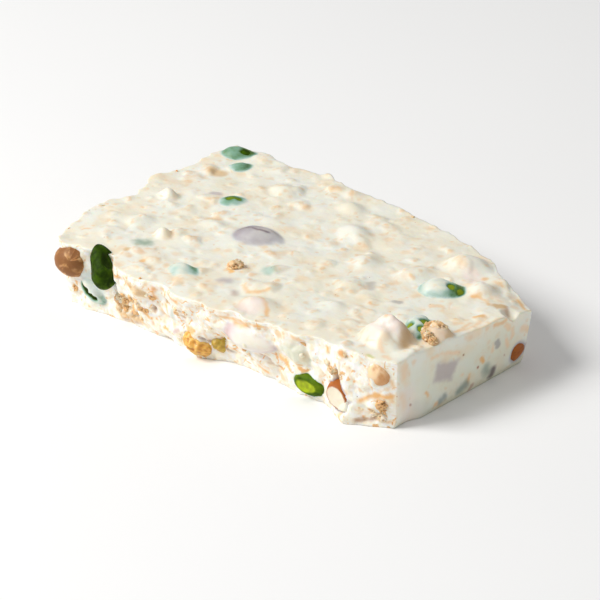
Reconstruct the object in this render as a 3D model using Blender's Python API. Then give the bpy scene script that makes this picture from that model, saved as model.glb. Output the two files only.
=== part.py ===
"""A broken piece of a poured white chocolate bar, set with nuts, sultanas and crisp flakes.

The piece lies on its flat base. +X points to the one moulded end wall, +Y runs across the bar
and +Z is up; the origin is in the middle of the base of its bounding box. The other three
sides are broken, with the nuts that the breaks crossed sitting in pockets of the chocolate.

Lengths below are millimetres in the plan of the bar: x is 0 at the front corner of the moulded
wall and negative towards the broken end, y is 0 at that corner, and z is 0 on the base.
"""

import math
import random
from dataclasses import dataclass

import bmesh
import bpy
import numpy as np
from mathutils import Euler, Matrix, Vector, noise

MM = 0.001

# Driving dimensions
THICKNESS = 20.0
GRID = (42, 27, 6)
FLAT_ANGLE = math.radians(1.0)
POCKET_GAP = 0.35
LEAST_BASE_CLEARANCE = 0.7

# The moulded wall: it leans out by its draft, more towards the back, and rounds into the base.
WALL_TOP = ((-3, 0.0), (0, 0.0), (41, 3.9), (53, 4.6))
WALL_BASE = ((-3, 0.0), (0, 0.0), (6, 1.6), (53, 1.8))
WALL_FOOT_RADIUS = 0.7

# The breaks, as (distance along, position at the top, position at the base).
FRONT_BREAK = (
    (-130, -3.5, -1.5),
    (-121, -7.0, -4.0),
    (-113, -6.5, -5.0),
    (-108, -4.5, -4.0),
    (-103, -3.8, -3.0),
    (-98, -8.4, -3.2),
    (-91, -10.0, -3.4),
    (-79, -9.0, -2.9),
    (-68, -9.4, -6.0),
    (-58, -9.0, -1.4),
    (-40, -6.6, -1.8),
    (-24, -4.6, -2.0),
    (-13, -3.8, -7.8),
    (-6, -2.6, -4.0),
    (0, 0.0, -0.4),
    (6, 0.0, 0.0),
)
BACK_BREAK = (
    (-130, 73.5, 70.0),
    (-118, 76.5, 71.5),
    (-104, 74.5, 72.0),
    (-92, 76.5, 70.0),
    (-78, 73.5, 71.0),
    (-62, 74.0, 67.0),
    (-41, 71.0, 67.0),
    (-33, 67.5, 61.5),
    (-21, 65.0, 60.0),
    (-10, 57.5, 56.0),
    (-1, 54.5, 53.0),
    (5, 52.0, 50.5),
)
LEFT_BREAK = (
    (-12, -121.0, -118.0),
    (2, -127.0, -121.5),
    (14, -129.5, -124.0),
    (28, -126.0, -123.0),
    (42, -130.5, -124.5),
    (56, -127.0, -124.0),
    (66, -129.5, -122.0),
    (78, -124.0, -120.0),
)
FRONT_GUESS = -8.0
BACK_GUESS = 74.0
CRAG_SIZES = ((7.0, 1.4), (3.2, 0.7))
FRONT_SEED = 30.0
BACK_SEED = 60.0
LEFT_SEED = 90.0
CALM_NEAR_WALL = 0.06


@dataclass(frozen=True)
class Lump:
    """A mound in the poured top over something sunk in it, in millimetres and degrees."""

    middle: tuple
    radii: tuple
    height: float
    turn: float = 0.0
    sharp: float = 1.5


LUMPS = (
    Lump((-12.2, 8.8), (8.8, 7.4), 6.6, turn=-35, sharp=1.15),
    Lump((-51.0, 0.0), (8.5, 6.0), 2.0, turn=10),
    Lump((-57.5, 8.0), (7.0, 5.5), 1.6, turn=40),
    Lump((-35.0, 13.5), (5.0, 4.0), 1.2),
    Lump((-100.5, 14.5), (3.2, 2.6), 2.6, sharp=1.0),
    Lump((-117.5, 35.0), (4.2, 3.4), 2.8),
    Lump((-23.0, 57.0), (9.0, 7.0), 3.6, turn=30),
    Lump((4.0, 43.6), (3.4, 3.4), -2.4, sharp=1.0),
    Lump((-10.5, 48.0), (6.5, 5.5), 2.0),
    Lump((-31.0, 44.0), (8.0, 5.5), 1.6, turn=60),
    Lump((-46.0, 40.0), (6.0, 7.0), 1.8),
    Lump((-60.0, 52.0), (8.0, 6.0), 2.0, turn=-20),
    Lump((-94.0, 60.0), (7.0, 6.0), 1.8),
    Lump((-72.0, 64.0), (6.0, 5.0), 1.4),
    Lump((-95.0, 30.0), (6.0, 5.0), 1.0),
    Lump((-112.0, 18.0), (5.0, 6.0), 1.2),
    Lump((-40.0, 27.0), (6.0, 5.0), 1.0),
)
CORNER_DIP = Lump((7.0, 55.0), (19.0, 15.0), -3.4, sharp=1.3)
SWELL_SIZES = ((16.0, 0.55), (6.0, 0.35))
SWELL_SEED = 40.0


@dataclass(frozen=True)
class Kernel:
    """A nut or a sultana: its middle and size in millimetres, and its turn in degrees.

    broken holds an outward direction in the plan and how far from the middle a flat break lies.
    """

    name: str
    kind: str
    middle: tuple
    size: tuple
    turn: tuple = (0, 0, 0)
    broken: tuple = ()


PISTACHIO = (12.5, 7.6, 7.0)
HAZELNUT = (12.0, 11.5, 11.0)
SULTANA = (9.0, 7.0, 5.5)

TO_FRONT = (0, -1, 0)
TO_BACK = (0, 1, 0)
TO_LEFT = (-1, 0, 0)

PISTACHIOS = (
    Kernel("pistachio_front_upright", "pistachio", (-104.8, -5.8, 16.4), (13.4, 8.2, 7.0), (0, -52, 148)),
    Kernel("pistachio_front_low", "pistachio", (-110.2, -3.5, 6.6), (9.6, 6.0, 5.4), (0, 40, 4)),
    Kernel("pistachio_front_cut", "pistachio", (-28.4, -1.6, 4.2), (13.4, 7.4, 6.6), (0, 3, 5), (TO_FRONT, 3.0)),
    Kernel("pistachio_top_wide", "pistachio", (-18.4, 41.2, 18.4), (14.2, 9.6, 7.4), (0, 0, 34)),
    Kernel("pistachio_top_by_peak", "pistachio", (-8.4, 18.6, 18.4), (14.0, 8.0, 7.4), (0, 4, -50)),
    Kernel("pistachio_top_pool", "pistachio", (-80.0, 2.0, 18.0), (11.5, 8.4, 6.8), (0, 0, 12)),
    Kernel("pistachio_top_bright", "pistachio", (-100.4, 44.8, 17.9), (9.6, 7.4, 6.6), (0, 0, 38)),
    Kernel("pistachio_top_far", "pistachio", (-121.8, 70.6, 18.0), (12.0, 7.8, 7.2), (0, 0, 30)),
    Kernel("pistachio_top_dark", "pistachio", (-115.2, 64.4, 17.8), (8.4, 6.0, 6.0), (0, 0, 50)),
    Kernel("pistachio_back_cut", "pistachio", (-86.0, 70.5, 9.0), PISTACHIO, (0, 20, 4), (TO_BACK, 2.8)),
    Kernel("pistachio_back_corner", "pistachio", (-29.0, 61.5, 8.0), (12.0, 7.4, 6.6), (0, -25, -25)),
    Kernel("pistachio_left", "pistachio", (-125.0, 33.0, 9.0), PISTACHIO, (0, 15, 80)),
)
HAZELNUTS = (
    Kernel("hazelnut_corner", "hazelnut", (-6.2, 0.3, 15.0), (9.4, 8.4, 8.4), (0, 50, 20)),
    Kernel("hazelnut_left_front", "hazelnut", (-117.6, -4.6, 14.2), (11.6, 10.8, 10.2), (0, 20, 120)),
    Kernel("hazelnut_left", "hazelnut", (-124.5, 53.5, 10.5), HAZELNUT, (10, 0, 30), (TO_LEFT, 4.2)),
    Kernel("hazelnut_back", "hazelnut", (-57.5, 67.0, 11.0), HAZELNUT, (20, 0, 60), (TO_BACK, 4.6)),
    Kernel("hazelnut_back_far", "hazelnut", (-106.0, 69.5, 13.2), (11.5, 11.0, 10.6), (0, 30, 10)),
)
ALMONDS = (
    Kernel("almond_front_pale", "blanched_almond", (-50.0, -3.2, 13.2), (19.0, 10.0, 9.0), (0, 6, -4)),
    Kernel("almond_front_low", "almond", (-15.8, -3.2, 5.2), (12.0, 9.0, 7.8), (0, 40, 4), (TO_FRONT, 3.8)),
    Kernel("almond_end", "almond", (-0.5, 49.2, 5.9), (11.0, 7.8, 9.4), (0, 0, 80)),
    Kernel("almond_top", "almond", (-79.0, 32.0, 17.5), (17.0, 12.4, 8.0), (8, 0, 14)),
    Kernel("almond_back", "almond", (-71.0, 68.0, 5.4), (16.0, 10.0, 7.0), (0, 6, 8), (TO_BACK, 3.6)),
)
SULTANAS = (
    Kernel("sultana_front_amber", "sultana", (-68.8, -4.6, 4.3), (9.8, 7.4, 6.4), (0, 22, 8)),
    Kernel("sultana_front_olive", "sultana", (-62.6, -2.2, 5.8), (6.8, 6.0, 5.0), (0, 50, 10)),
    Kernel("sultana_back", "sultana", (-43.0, 67.0, 5.6), SULTANA, (0, 20, 10)),
    Kernel("sultana_left", "sultana", (-125.2, 14.0, 5.6), SULTANA, (0, 10, 90)),
)
KERNELS = PISTACHIOS + HAZELNUTS + ALMONDS + SULTANAS


@dataclass(frozen=True)
class Finish:
    """The plain surface of one kind of sub-part."""

    colour: tuple
    roughness: float


FINISHES = {
    "white_chocolate": Finish((0.83, 0.76, 0.60), 0.42),
    "pistachio": Finish((0.20, 0.34, 0.03), 0.5),
    "hazelnut": Finish((0.80, 0.55, 0.33), 0.6),
    "almond": Finish((0.26, 0.09, 0.03), 0.6),
    "blanched_almond": Finish((0.80, 0.72, 0.58), 0.5),
    "sultana": Finish((0.62, 0.36, 0.08), 0.35),
}
SHARP_ANGLE = math.radians(50)
KERNEL_SIDES = 10
KERNEL_RINGS = 7

# The bits fused to the breaks: crisp puffs, and thin flakes of wafer and peel.
BIT_SEED = 7
CRISPS = 34
FLAKES = 48
CRISP_RADII = (1.2, 2.4)
FLAKE_LENGTHS = (3.0, 5.6)
FLAKE_WIDTH_SHARES = (0.4, 0.8)
FLAKE_THICKNESS = 0.7
FLAKE_STANDS_OUT = 0.08
CRISP_ROUGHNESS = 0.22
CRISP_SUNK = 0.35
BIT_TO_KERNEL = 1.6
SIDE_WEIGHTS = {"front": 5, "back": 5, "left": 3}
BIT_RISES = (0.14, 0.94)
WALL_MARGIN = 0.985
CRISP_CLUSTERS = (
    (-97.0, 8.0, 5.0, 7),
    (-17.5, 12.5, 2.5, 4),
    (-5.5, 5.0, 2.5, 4),
    (-88.0, 12.0, 4.0, 3),
)
CRISP_NIBS = (
    ((-3.4, 20.6, 20.8), 3.4),
    ((-71.6, 13.6, 20.2), 2.4),
    ((-9.0, 55.4, 19.0), 1.8),
)


def clear_scene():
    """Remove every object that is in the file."""
    for old in list(bpy.data.objects):
        bpy.data.objects.remove(old, do_unlink=True)


def read_table(table, where, column=1):
    """One column of a table, read between its rows."""
    return float(np.interp(where, [row[0] for row in table], [row[column] for row in table]))


def between(low, high, share):
    """The value at a share of the way from low to high."""
    return low + (high - low) * share


def crag(x, y, z):
    """How far a break stands out at a place, from a coarse and a fine noise."""
    place = Vector((x, y, z))
    return sum(depth * noise.noise(place / size) for size, depth in CRAG_SIZES)


def mound(lump, x, y):
    """The height that a lump adds to the poured top."""
    turn = math.radians(lump.turn)
    dx = x - lump.middle[0]
    dy = y - lump.middle[1]
    across = (dx * math.cos(turn) + dy * math.sin(turn)) / lump.radii[0]
    along = (dy * math.cos(turn) - dx * math.sin(turn)) / lump.radii[1]
    reach = math.hypot(across, along)
    return lump.height * max(0.0, 1.0 - reach) ** lump.sharp if reach < 1.0 else 0.0


def top_height(x, y):
    """The height of the poured top over the base."""
    swell = sum(depth * noise.noise(Vector((x, y, SWELL_SEED)) / size) for size, depth in SWELL_SIZES)
    lumps = sum(mound(lump, x, y) for lump in LUMPS)
    return THICKNESS + swell + lumps + mound(CORNER_DIP, x, y)


def break_line(table, along, rise, outward, seed):
    """Where a break lies at a height share, with its crags standing outward."""
    top = read_table(table, along, 1)
    base = read_table(table, along, 2)
    return between(base, top, rise) + outward * crag(along, seed, rise * THICKNESS)


def slab_point(u, v, w):
    """A point of the bar: u runs to the moulded wall, v from front to back and w up."""
    y_guess = between(FRONT_GUESS, BACK_GUESS, v)
    wall = between(read_table(WALL_BASE, y_guess), read_table(WALL_TOP, y_guess), w)
    wall -= WALL_FOOT_RADIUS if w == 0.0 else 0.0
    left = break_line(LEFT_BREAK, y_guess, w, -1.0, LEFT_SEED)
    x = between(left, wall, u)
    calm = min(1.0, (1.0 - u) / CALM_NEAR_WALL)
    front = break_line(FRONT_BREAK, x, w, -calm, FRONT_SEED)
    back = break_line(BACK_BREAK, x, w, calm, BACK_SEED)
    y = between(front, back, v)
    return Vector((x, y, w * top_height(x, y)))


def new_object(name, bm, collection):
    """Make an object of a bmesh in a collection and free the bmesh."""
    mesh = bpy.data.meshes.new(name)
    bm.to_mesh(mesh)
    bm.free()
    made = bpy.data.objects.new(name, mesh)
    collection.objects.link(made)
    return made


def new_collection(name):
    """Make a collection in the scene."""
    collection = bpy.data.collections.new(name)
    bpy.context.scene.collection.children.link(collection)
    return collection


def new_material(name, finish):
    """A plain Principled material."""
    material = bpy.data.materials.new(name)
    material.use_nodes = True
    shader = material.node_tree.nodes["Principled BSDF"]
    shader.inputs["Base Color"].default_value = (*finish.colour, 1.0)
    shader.inputs["Roughness"].default_value = finish.roughness
    shader.inputs["Metallic"].default_value = 0.0
    return material


def gridded_cube(counts):
    """A cube from 0 to 1 whose sides are cut into a grid with these counts along x, y and z."""
    bm = bmesh.new()
    bmesh.ops.create_cube(bm, size=1.0, matrix=Matrix.Translation((0.5, 0.5, 0.5)))
    for axis, count in enumerate(counts):
        along = [e for e in bm.edges if abs((e.verts[1].co - e.verts[0].co)[axis]) > 0.5]
        bmesh.ops.subdivide_edges(bm, edges=along, cuts=count - 1, use_grid_fill=True)
    return bm


def make_chocolate(collection):
    """The chocolate itself, before nuts are let into it."""
    bm = gridded_cube(GRID)
    for vert in bm.verts:
        vert.co = slab_point(*vert.co) * MM
    bmesh.ops.dissolve_limit(bm, angle_limit=FLAT_ANGLE, verts=bm.verts[:], edges=bm.edges[:])
    bmesh.ops.triangulate(bm, faces=bm.faces[:])
    bmesh.ops.recalc_face_normals(bm, faces=bm.faces[:])
    return new_object("white_chocolate", bm, collection)


def pistachio_form(t, side):
    """Radius share and sideways bend of a pistachio at t from -1 to 1, with its seam furrow."""
    furrow = 1.0 - 0.10 * max(0.0, math.cos(side)) ** 6
    return math.sqrt(1.0 - t * t) * (1.0 - 0.16 * t) * furrow, 0.10 * t * t


def hazelnut_form(t, side):
    """A round kernel with a blunt base and a small tip."""
    tip = 1.0 - 0.28 * max(0.0, t) ** 3
    return math.sqrt(1.0 - abs(t) ** 2.3) * tip * (1.0 + 0.02 * math.cos(3.0 * side)), 0.0


def almond_form(t, side):
    """A flat teardrop."""
    return (1.0 - t * t) ** 0.58 * (1.0 - 0.32 * t), 0.0


def sultana_form(t, side):
    """A shrunken oval with a few deep wrinkles."""
    wrinkle = 0.13 * noise.noise(Vector((3.2 * t, 1.9 * math.cos(side), 1.9 * math.sin(side))))
    return math.sqrt(1.0 - t * t) * (1.0 + wrinkle + 0.06 * math.cos(4.0 * side + 2.0 * t)), 0.05 * t


FORMS = {
    "pistachio": pistachio_form,
    "hazelnut": hazelnut_form,
    "almond": almond_form,
    "blanched_almond": almond_form,
    "sultana": sultana_form,
}


def kernel_turn(kernel):
    """The kernel's rotation."""
    return Euler([math.radians(angle) for angle in kernel.turn])


def kernel_bmesh(kernel):
    """The kernel's body around its own middle, with its length along x."""
    bm = bmesh.new()
    bmesh.ops.create_uvsphere(bm, u_segments=KERNEL_SIDES, v_segments=KERNEL_RINGS, radius=1.0)
    length, width, height = (side / 2.0 for side in kernel.size)
    for vert in bm.verts:
        t = max(-1.0, min(1.0, vert.co.z))
        side = math.atan2(vert.co.y, vert.co.x)
        radius, bend = FORMS[kernel.kind](t, side)
        across = (radius * math.cos(side) + bend) * width
        vert.co = Vector((t * length, across, radius * math.sin(side) * height)) * MM
    if kernel.broken:
        outward, reach = kernel.broken
        normal = kernel_turn(kernel).to_matrix().inverted() @ Vector(outward)
        geometry = bm.verts[:] + bm.edges[:] + bm.faces[:]
        cut = bmesh.ops.bisect_plane(
            bm, geom=geometry, plane_co=normal * reach * MM, plane_no=normal, clear_outer=True
        )
        rim = [part for part in cut["geom_cut"] if isinstance(part, bmesh.types.BMEdge)]
        bmesh.ops.edgeloop_fill(bm, edges=rim)
    bmesh.ops.triangulate(bm, faces=bm.faces[:])
    bmesh.ops.recalc_face_normals(bm, faces=bm.faces[:])
    return bm


def place(made, kernel):
    """Put an object at its kernel's place and turn."""
    made.location = Vector(kernel.middle) * MM
    made.rotation_euler = kernel_turn(kernel)


def make_kernel(kernel, collection, material):
    """The nut or sultana itself."""
    made = new_object(kernel.name, kernel_bmesh(kernel), collection)
    made.data.materials.append(material)
    made.data.shade_smooth()
    made.data.set_sharp_from_angle(angle=SHARP_ANGLE)
    place(made, kernel)
    return made


def make_pocket(kernel, collection):
    """The hollow that a kernel sits in: its own form, larger all round by the gap."""
    bm = kernel_bmesh(kernel)
    bm.normal_update()
    moved = {vert: vert.co + vert.normal * POCKET_GAP * MM for vert in bm.verts}
    for vert, co in moved.items():
        vert.co = co
    made = new_object(f"pocket_{kernel.name}", bm, collection)
    made.hide_render = True
    made.display_type = "WIRE"
    place(made, kernel)
    return made


def side_point(rng):
    """A random place on the broken sides with its outward direction."""
    side = rng.choices(list(SIDE_WEIGHTS), weights=list(SIDE_WEIGHTS.values()))[0]
    share = rng.uniform(0.02, WALL_MARGIN)
    rise = rng.uniform(*BIT_RISES)
    if side == "front":
        return slab_point(share, 0.0, rise), Vector(TO_FRONT)
    if side == "back":
        return slab_point(share, 1.0, rise), Vector(TO_BACK)
    return slab_point(0.0, share, rise), Vector(TO_LEFT)


def front_point(x, z):
    """The place on the front break at this x and height."""
    rise = z / THICKNESS
    y = break_line(FRONT_BREAK, x, rise, -1.0, FRONT_SEED)
    return Vector((x, y, z)), Vector(TO_FRONT)


def is_clear(middle, radius):
    """Whether a bit of this radius is clear of every kernel and of the base."""
    if middle.z - radius < LEAST_BASE_CLEARANCE:
        return False
    for kernel in KERNELS:
        turned = kernel_turn(kernel).to_matrix().inverted() @ (middle - Vector(kernel.middle))
        half = [side / 2.0 + BIT_TO_KERNEL + radius / 2.0 for side in kernel.size]
        if sum((turned[axis] / half[axis]) ** 2 for axis in range(3)) < 1.0:
            return False
    return True


def crisp_bit(middle, radius, rng, collection):
    """A craggy ball of crisp."""
    bm = bmesh.new()
    bmesh.ops.create_icosphere(bm, subdivisions=1, radius=radius * MM)
    for vert in bm.verts:
        vert.co = vert.co * rng.uniform(1.0 - CRISP_ROUGHNESS, 1.0 + CRISP_ROUGHNESS) + middle * MM
    return new_object("crisp", bm, collection)


def flake_bit(middle, outward, length, rng, collection):
    """A thin flake standing part out of a break."""
    sizes = Vector((length, length * rng.uniform(*FLAKE_WIDTH_SHARES), FLAKE_THICKNESS))
    spin = Euler([rng.uniform(-math.pi, math.pi) for _ in range(3)]).to_matrix().to_4x4()
    centre = (middle + outward * length * FLAKE_STANDS_OUT) * MM
    shape = Matrix.Translation(centre) @ spin @ Matrix.Diagonal((*(sizes * MM), 1.0))
    bm = bmesh.new()
    bmesh.ops.create_cube(bm, size=1.0, matrix=shape)
    bmesh.ops.triangulate(bm, faces=bm.faces[:])
    return new_object("flake", bm, collection)


def make_bits(collection):
    """All the bits that are fused to the chocolate."""
    rng = random.Random(BIT_SEED)
    for middle, radius in CRISP_NIBS:
        crisp_bit(Vector(middle), radius, rng, collection)
    places = [side_point(rng) for _ in range(CRISPS)]
    for x, z, spread, count in CRISP_CLUSTERS:
        for _ in range(count):
            near_z = min(max(z + rng.uniform(-spread, spread), 3.0), THICKNESS - 1.5)
            places.append(front_point(x + rng.uniform(-spread, spread), near_z))
    for middle, outward in places:
        radius = rng.uniform(*CRISP_RADII)
        if is_clear(middle, radius):
            crisp_bit(middle - outward * radius * CRISP_SUNK, radius, rng, collection)
    for _ in range(FLAKES):
        middle, outward = side_point(rng)
        length = rng.uniform(*FLAKE_LENGTHS)
        if is_clear(middle, length / 2.0):
            flake_bit(middle, outward, length, rng, collection)


def apply_boolean(made, operation, collection, solver):
    """Join or cut an object by a collection, apply that and remove the collection's objects."""
    boolean = made.modifiers.new(operation.title(), "BOOLEAN")
    boolean.operation = operation
    boolean.operand_type = "COLLECTION"
    boolean.collection = collection
    boolean.solver = solver
    evaluated = made.evaluated_get(bpy.context.evaluated_depsgraph_get())
    made.data = bpy.data.meshes.new_from_object(evaluated)
    made.modifiers.clear()
    for used in list(collection.objects):
        bpy.data.objects.remove(used, do_unlink=True)


def keep_largest_body(made):
    """Drop loose scraps and fill sealed hollows: only the outer skin with most faces stays."""
    bm = bmesh.new()
    bm.from_mesh(made.data)
    waiting = set(bm.verts)
    bodies = []
    while waiting:
        found = {waiting.pop()}
        newest = list(found)
        while newest:
            vert = newest.pop()
            fresh = {edge.other_vert(vert) for edge in vert.link_edges} - found
            found |= fresh
            newest.extend(fresh)
        waiting -= found
        bodies.append(found)
    bodies.sort(key=len)
    scraps = [vert for body in bodies[:-1] for vert in body]
    bmesh.ops.delete(bm, geom=scraps, context="VERTS")
    bmesh.ops.triangulate(bm, faces=bm.faces[:])
    bm.to_mesh(made.data)
    bm.free()


def centre_on_base(collection):
    """Hang the parts on an empty that puts the middle of the base of their box at the origin."""
    bpy.context.view_layer.update()
    points = [made.matrix_world @ vert.co for made in collection.objects for vert in made.data.vertices]
    low = Vector([min(point[axis] for point in points) for axis in range(3)])
    high = Vector([max(point[axis] for point in points) for axis in range(3)])
    anchor = bpy.data.objects.new("base_middle", None)
    anchor.location = (-(low.x + high.x) / 2.0, -(low.y + high.y) / 2.0, -low.z)
    for made in collection.objects:
        made.parent = anchor
    collection.objects.link(anchor)


def main():
    clear_scene()
    bar = new_collection("white_chocolate_bar")
    bits = new_collection("fused_bits")
    pockets = new_collection("pockets")
    materials = {name: new_material(name, finish) for name, finish in FINISHES.items()}

    chocolate = make_chocolate(bar)
    make_bits(bits)
    apply_boolean(chocolate, "UNION", bits, "MANIFOLD")
    for kernel in KERNELS:
        make_pocket(kernel, pockets)
    apply_boolean(chocolate, "DIFFERENCE", pockets, "EXACT")
    keep_largest_body(chocolate)
    chocolate.data.materials.clear()
    chocolate.data.materials.append(materials["white_chocolate"])

    for kernel in KERNELS:
        make_kernel(kernel, bar, materials[kernel.kind])
    centre_on_base(bar)


main()
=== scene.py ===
"""The looks of a broken piece of a poured white chocolate bar, set with nuts, sultanas and crisps.

The chocolate was poured round whole kernels: a film of it runs over the kernels near the top, the
moulded end wall is smooth, and the three broken sides are crumbly, with crisps and thin flakes of
wafer in them. Each of these is a class below, and each finish is a frozen dataclass that writes
its own material.

Lengths are millimetres in the plan of the bar unless a name says otherwise: x is 0 at the front
corner of the moulded wall and negative towards the broken end, y is 0 at that corner, and z is 0
on the base. The plan is set down in the row frame at the end, where the CAD nodes lie.
"""

import logging
import math
import random
from collections.abc import Callable, Sequence
from dataclasses import dataclass, field
from enum import Enum
from functools import partial

import bmesh
import bpy
import numpy as np
from mathutils import Euler, Matrix, Vector, noise
from mathutils.bvhtree import BVHTree


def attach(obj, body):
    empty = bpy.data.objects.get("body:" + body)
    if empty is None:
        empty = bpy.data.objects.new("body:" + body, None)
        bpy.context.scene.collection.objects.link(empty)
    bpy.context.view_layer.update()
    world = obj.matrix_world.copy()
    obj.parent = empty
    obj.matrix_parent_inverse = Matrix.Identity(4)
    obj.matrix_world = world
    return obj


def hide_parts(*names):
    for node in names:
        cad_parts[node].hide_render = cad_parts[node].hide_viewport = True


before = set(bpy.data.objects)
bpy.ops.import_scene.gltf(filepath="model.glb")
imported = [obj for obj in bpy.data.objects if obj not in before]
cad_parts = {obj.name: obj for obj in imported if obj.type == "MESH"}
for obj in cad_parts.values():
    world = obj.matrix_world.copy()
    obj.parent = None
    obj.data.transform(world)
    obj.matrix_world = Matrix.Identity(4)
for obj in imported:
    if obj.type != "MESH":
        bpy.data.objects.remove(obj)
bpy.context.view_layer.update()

MM = 0.001
BODY = "root"
PLAN_ORIGIN = Vector((0.06322766, -0.03263193, 0.0))

log = logging.getLogger("white_chocolate_bar")

Colour = tuple[float, float, float, float]
Flat = tuple[float, float]
Place = tuple[float, float, float]
Piece = bpy.types.Object


# Small helpers


def paint(red: int, green: int, blue: int) -> Colour:
    """A colour as it is seen, from 0 to 255, turned into the light that it sends back."""
    seen = np.array([red, green, blue]) / 255.0
    light = np.where(seen <= 0.04045, seen / 12.92, ((seen + 0.055) / 1.055) ** 2.4)
    return (*(float(part) for part in light), 1.0)


def smoothstep(low: float, high: float, values: np.ndarray | float) -> np.ndarray | float:
    """A soft step from 0 at low to 1 at high."""
    share = np.clip((values - low) / (high - low), 0.0, 1.0)
    return share * share * (3.0 - 2.0 * share)


def smooth_max(first: float, second: float, reach: float) -> float:
    """The larger of two heights, rounded off where they are within reach of each other."""
    blend = max(reach - abs(first - second), 0.0) / reach
    return max(first, second) + blend * blend * reach * 0.25


def columns(*parts: np.ndarray | float) -> np.ndarray:
    """Put arrays and plain numbers side by side, one row for each place."""
    return np.stack(np.broadcast_arrays(*parts), axis=1)


def noise_at(places: np.ndarray, size: float) -> np.ndarray:
    """Smooth noise at many places.

    Args:
        places: One row of x, y and z for each place, in millimetres.
        size: How large the noise's lumps are, in millimetres.

    Returns:
        One value from about -1 to 1 for each place.
    """
    return np.array([noise.noise(place) for place in (places / size).tolist()])


# What scatters one point in each cell of a grid, and how far it stays off the cell's sides.
CELL_HASH = (((127.1, 311.7), 43758.5453), ((269.5, 183.3), 24634.6345))
CELL_MARGIN = 0.12


def scattered_cells(flat: np.ndarray, size: float, seed: float) -> tuple[np.ndarray, ...]:
    """Sorts places into the irregular cells round points scattered on a flat.

    Args:
        flat: One row of two coordinates for each place, in millimetres.
        size: The mean width of a cell, in millimetres.
        seed: Chooses another scatter of points.

    Returns:
        The distance to the nearest point and to the second nearest, in cell widths, and a number
        from 0 to 1 that belongs to the nearest point.
    """
    column, row = np.floor(flat / size).T
    nearest = np.full(len(flat), np.inf)
    second = np.full(len(flat), np.inf)
    owner = np.zeros(len(flat))
    for column_step in (-1, 0, 1):
        for row_step in (-1, 0, 1):
            cell = columns(column + column_step, row + row_step)
            jitter = [np.mod(np.sin(cell @ pair + seed) * large, 1.0) for pair, large in CELL_HASH]
            point = (cell + CELL_MARGIN + (1.0 - 2.0 * CELL_MARGIN) * columns(*jitter)) * size
            distance = np.linalg.norm(flat - point, axis=1) / size
            closer = distance < nearest
            second = np.where(closer, nearest, np.minimum(second, distance))
            owner = np.where(closer, jitter[0], owner)
            nearest = np.where(closer, distance, nearest)
    return nearest, second, owner


def distance_to_path(flat: np.ndarray, path: Sequence[Flat]) -> np.ndarray:
    """How far places on a flat are from a line of points.

    Args:
        flat: One row of two coordinates for each place.
        path: The points of the line, or the one point.

    Returns:
        One distance for each place.
    """
    best = np.full(len(flat), np.inf)
    points = list(path) if len(path) > 1 else list(path) * 2
    for start, end in zip(points, points[1:]):
        step = np.subtract(end, start)
        share = np.clip((flat - start) @ step / max(float(step @ step), 1e-9), 0.0, 1.0)
        best = np.minimum(best, np.linalg.norm(flat - start - share[:, None] * step, axis=1))
    return best


def inside_outline(flat: np.ndarray, outline: Sequence[Flat]) -> np.ndarray:
    """Whether places on a flat are inside a closed outline."""
    inside = np.zeros(len(flat), bool)
    for (x_a, y_a), (x_b, y_b) in zip(outline, (*outline[1:], outline[0])):
        spans = (flat[:, 1] < y_a) != (flat[:, 1] < y_b)
        rise = (y_b - y_a) or 1e-9
        inside ^= spans & (flat[:, 0] < x_a + (flat[:, 1] - y_a) * (x_b - x_a) / rise)
    return inside


def call(made: Piece, name: str) -> None:
    """Name an object and its mesh."""
    made.name = name
    made.data.name = name


def deselect_all() -> None:
    """Leave nothing selected and be in object mode."""
    if bpy.context.object and bpy.context.object.mode != "OBJECT":
        bpy.ops.object.mode_set(mode="OBJECT")
    bpy.ops.object.select_all(action="DESELECT")


def take(made: Piece) -> None:
    """Select one object alone and make it the active one."""
    deselect_all()
    made.select_set(True)
    bpy.context.view_layer.objects.active = made


def edit_chosen(made: Piece, chosen: Sequence[bool], edit: Callable, faces: bool = False) -> None:
    """Run an edit on some of a mesh's vertices, or on some of its faces.

    Args:
        made: The object.
        chosen: Whether each vertex or face takes part.
        edit: What to run while they alone are selected.
        faces: Whether chosen is about faces.
    """
    take(made)
    bpy.ops.object.mode_set(mode="EDIT")
    bpy.ops.mesh.select_mode(type="FACE" if faces else "VERT")
    bpy.ops.mesh.select_all(action="DESELECT")
    bpy.ops.object.mode_set(mode="OBJECT")
    (made.data.polygons if faces else made.data.vertices).foreach_set("select", chosen)
    bpy.ops.object.mode_set(mode="EDIT")
    edit()
    bpy.ops.mesh.select_mode(type="VERT")
    bpy.ops.object.mode_set(mode="OBJECT")


def read_places(made: Piece) -> np.ndarray:
    """The vertices of a mesh, one row of x, y and z for each."""
    places = np.zeros(len(made.data.vertices) * 3)
    made.data.vertices.foreach_get("co", places)
    return places.reshape(-1, 3)


def write_places(made: Piece, places: np.ndarray) -> None:
    """Move the vertices of a mesh to these places."""
    made.data.vertices.foreach_set("co", places.astype(np.float32).ravel())
    made.data.update()


def write_values(made: Piece, name: str, values: np.ndarray) -> None:
    """Give each vertex of a mesh a number that materials read by name."""
    layer = made.data.attributes.new(name, "FLOAT", "POINT")
    layer.data.foreach_set("value", values.astype(np.float32))


def write_colours(made: Piece, name: str, colours: np.ndarray) -> None:
    """Give each vertex of a mesh a colour, which materials read by name."""
    layer = made.data.attributes.new(name, "FLOAT_COLOR", "POINT")
    full = columns(*colours.T, 1.0)
    layer.data.foreach_set("color", full.astype(np.float32).ravel())


def mesh_tree(made: Piece) -> BVHTree:
    """A tree of a mesh's faces, for finding what is near a place."""
    places = [vert.co[:] for vert in made.data.vertices]
    return BVHTree.FromPolygons(places, [tuple(face.vertices) for face in made.data.polygons])


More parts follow.
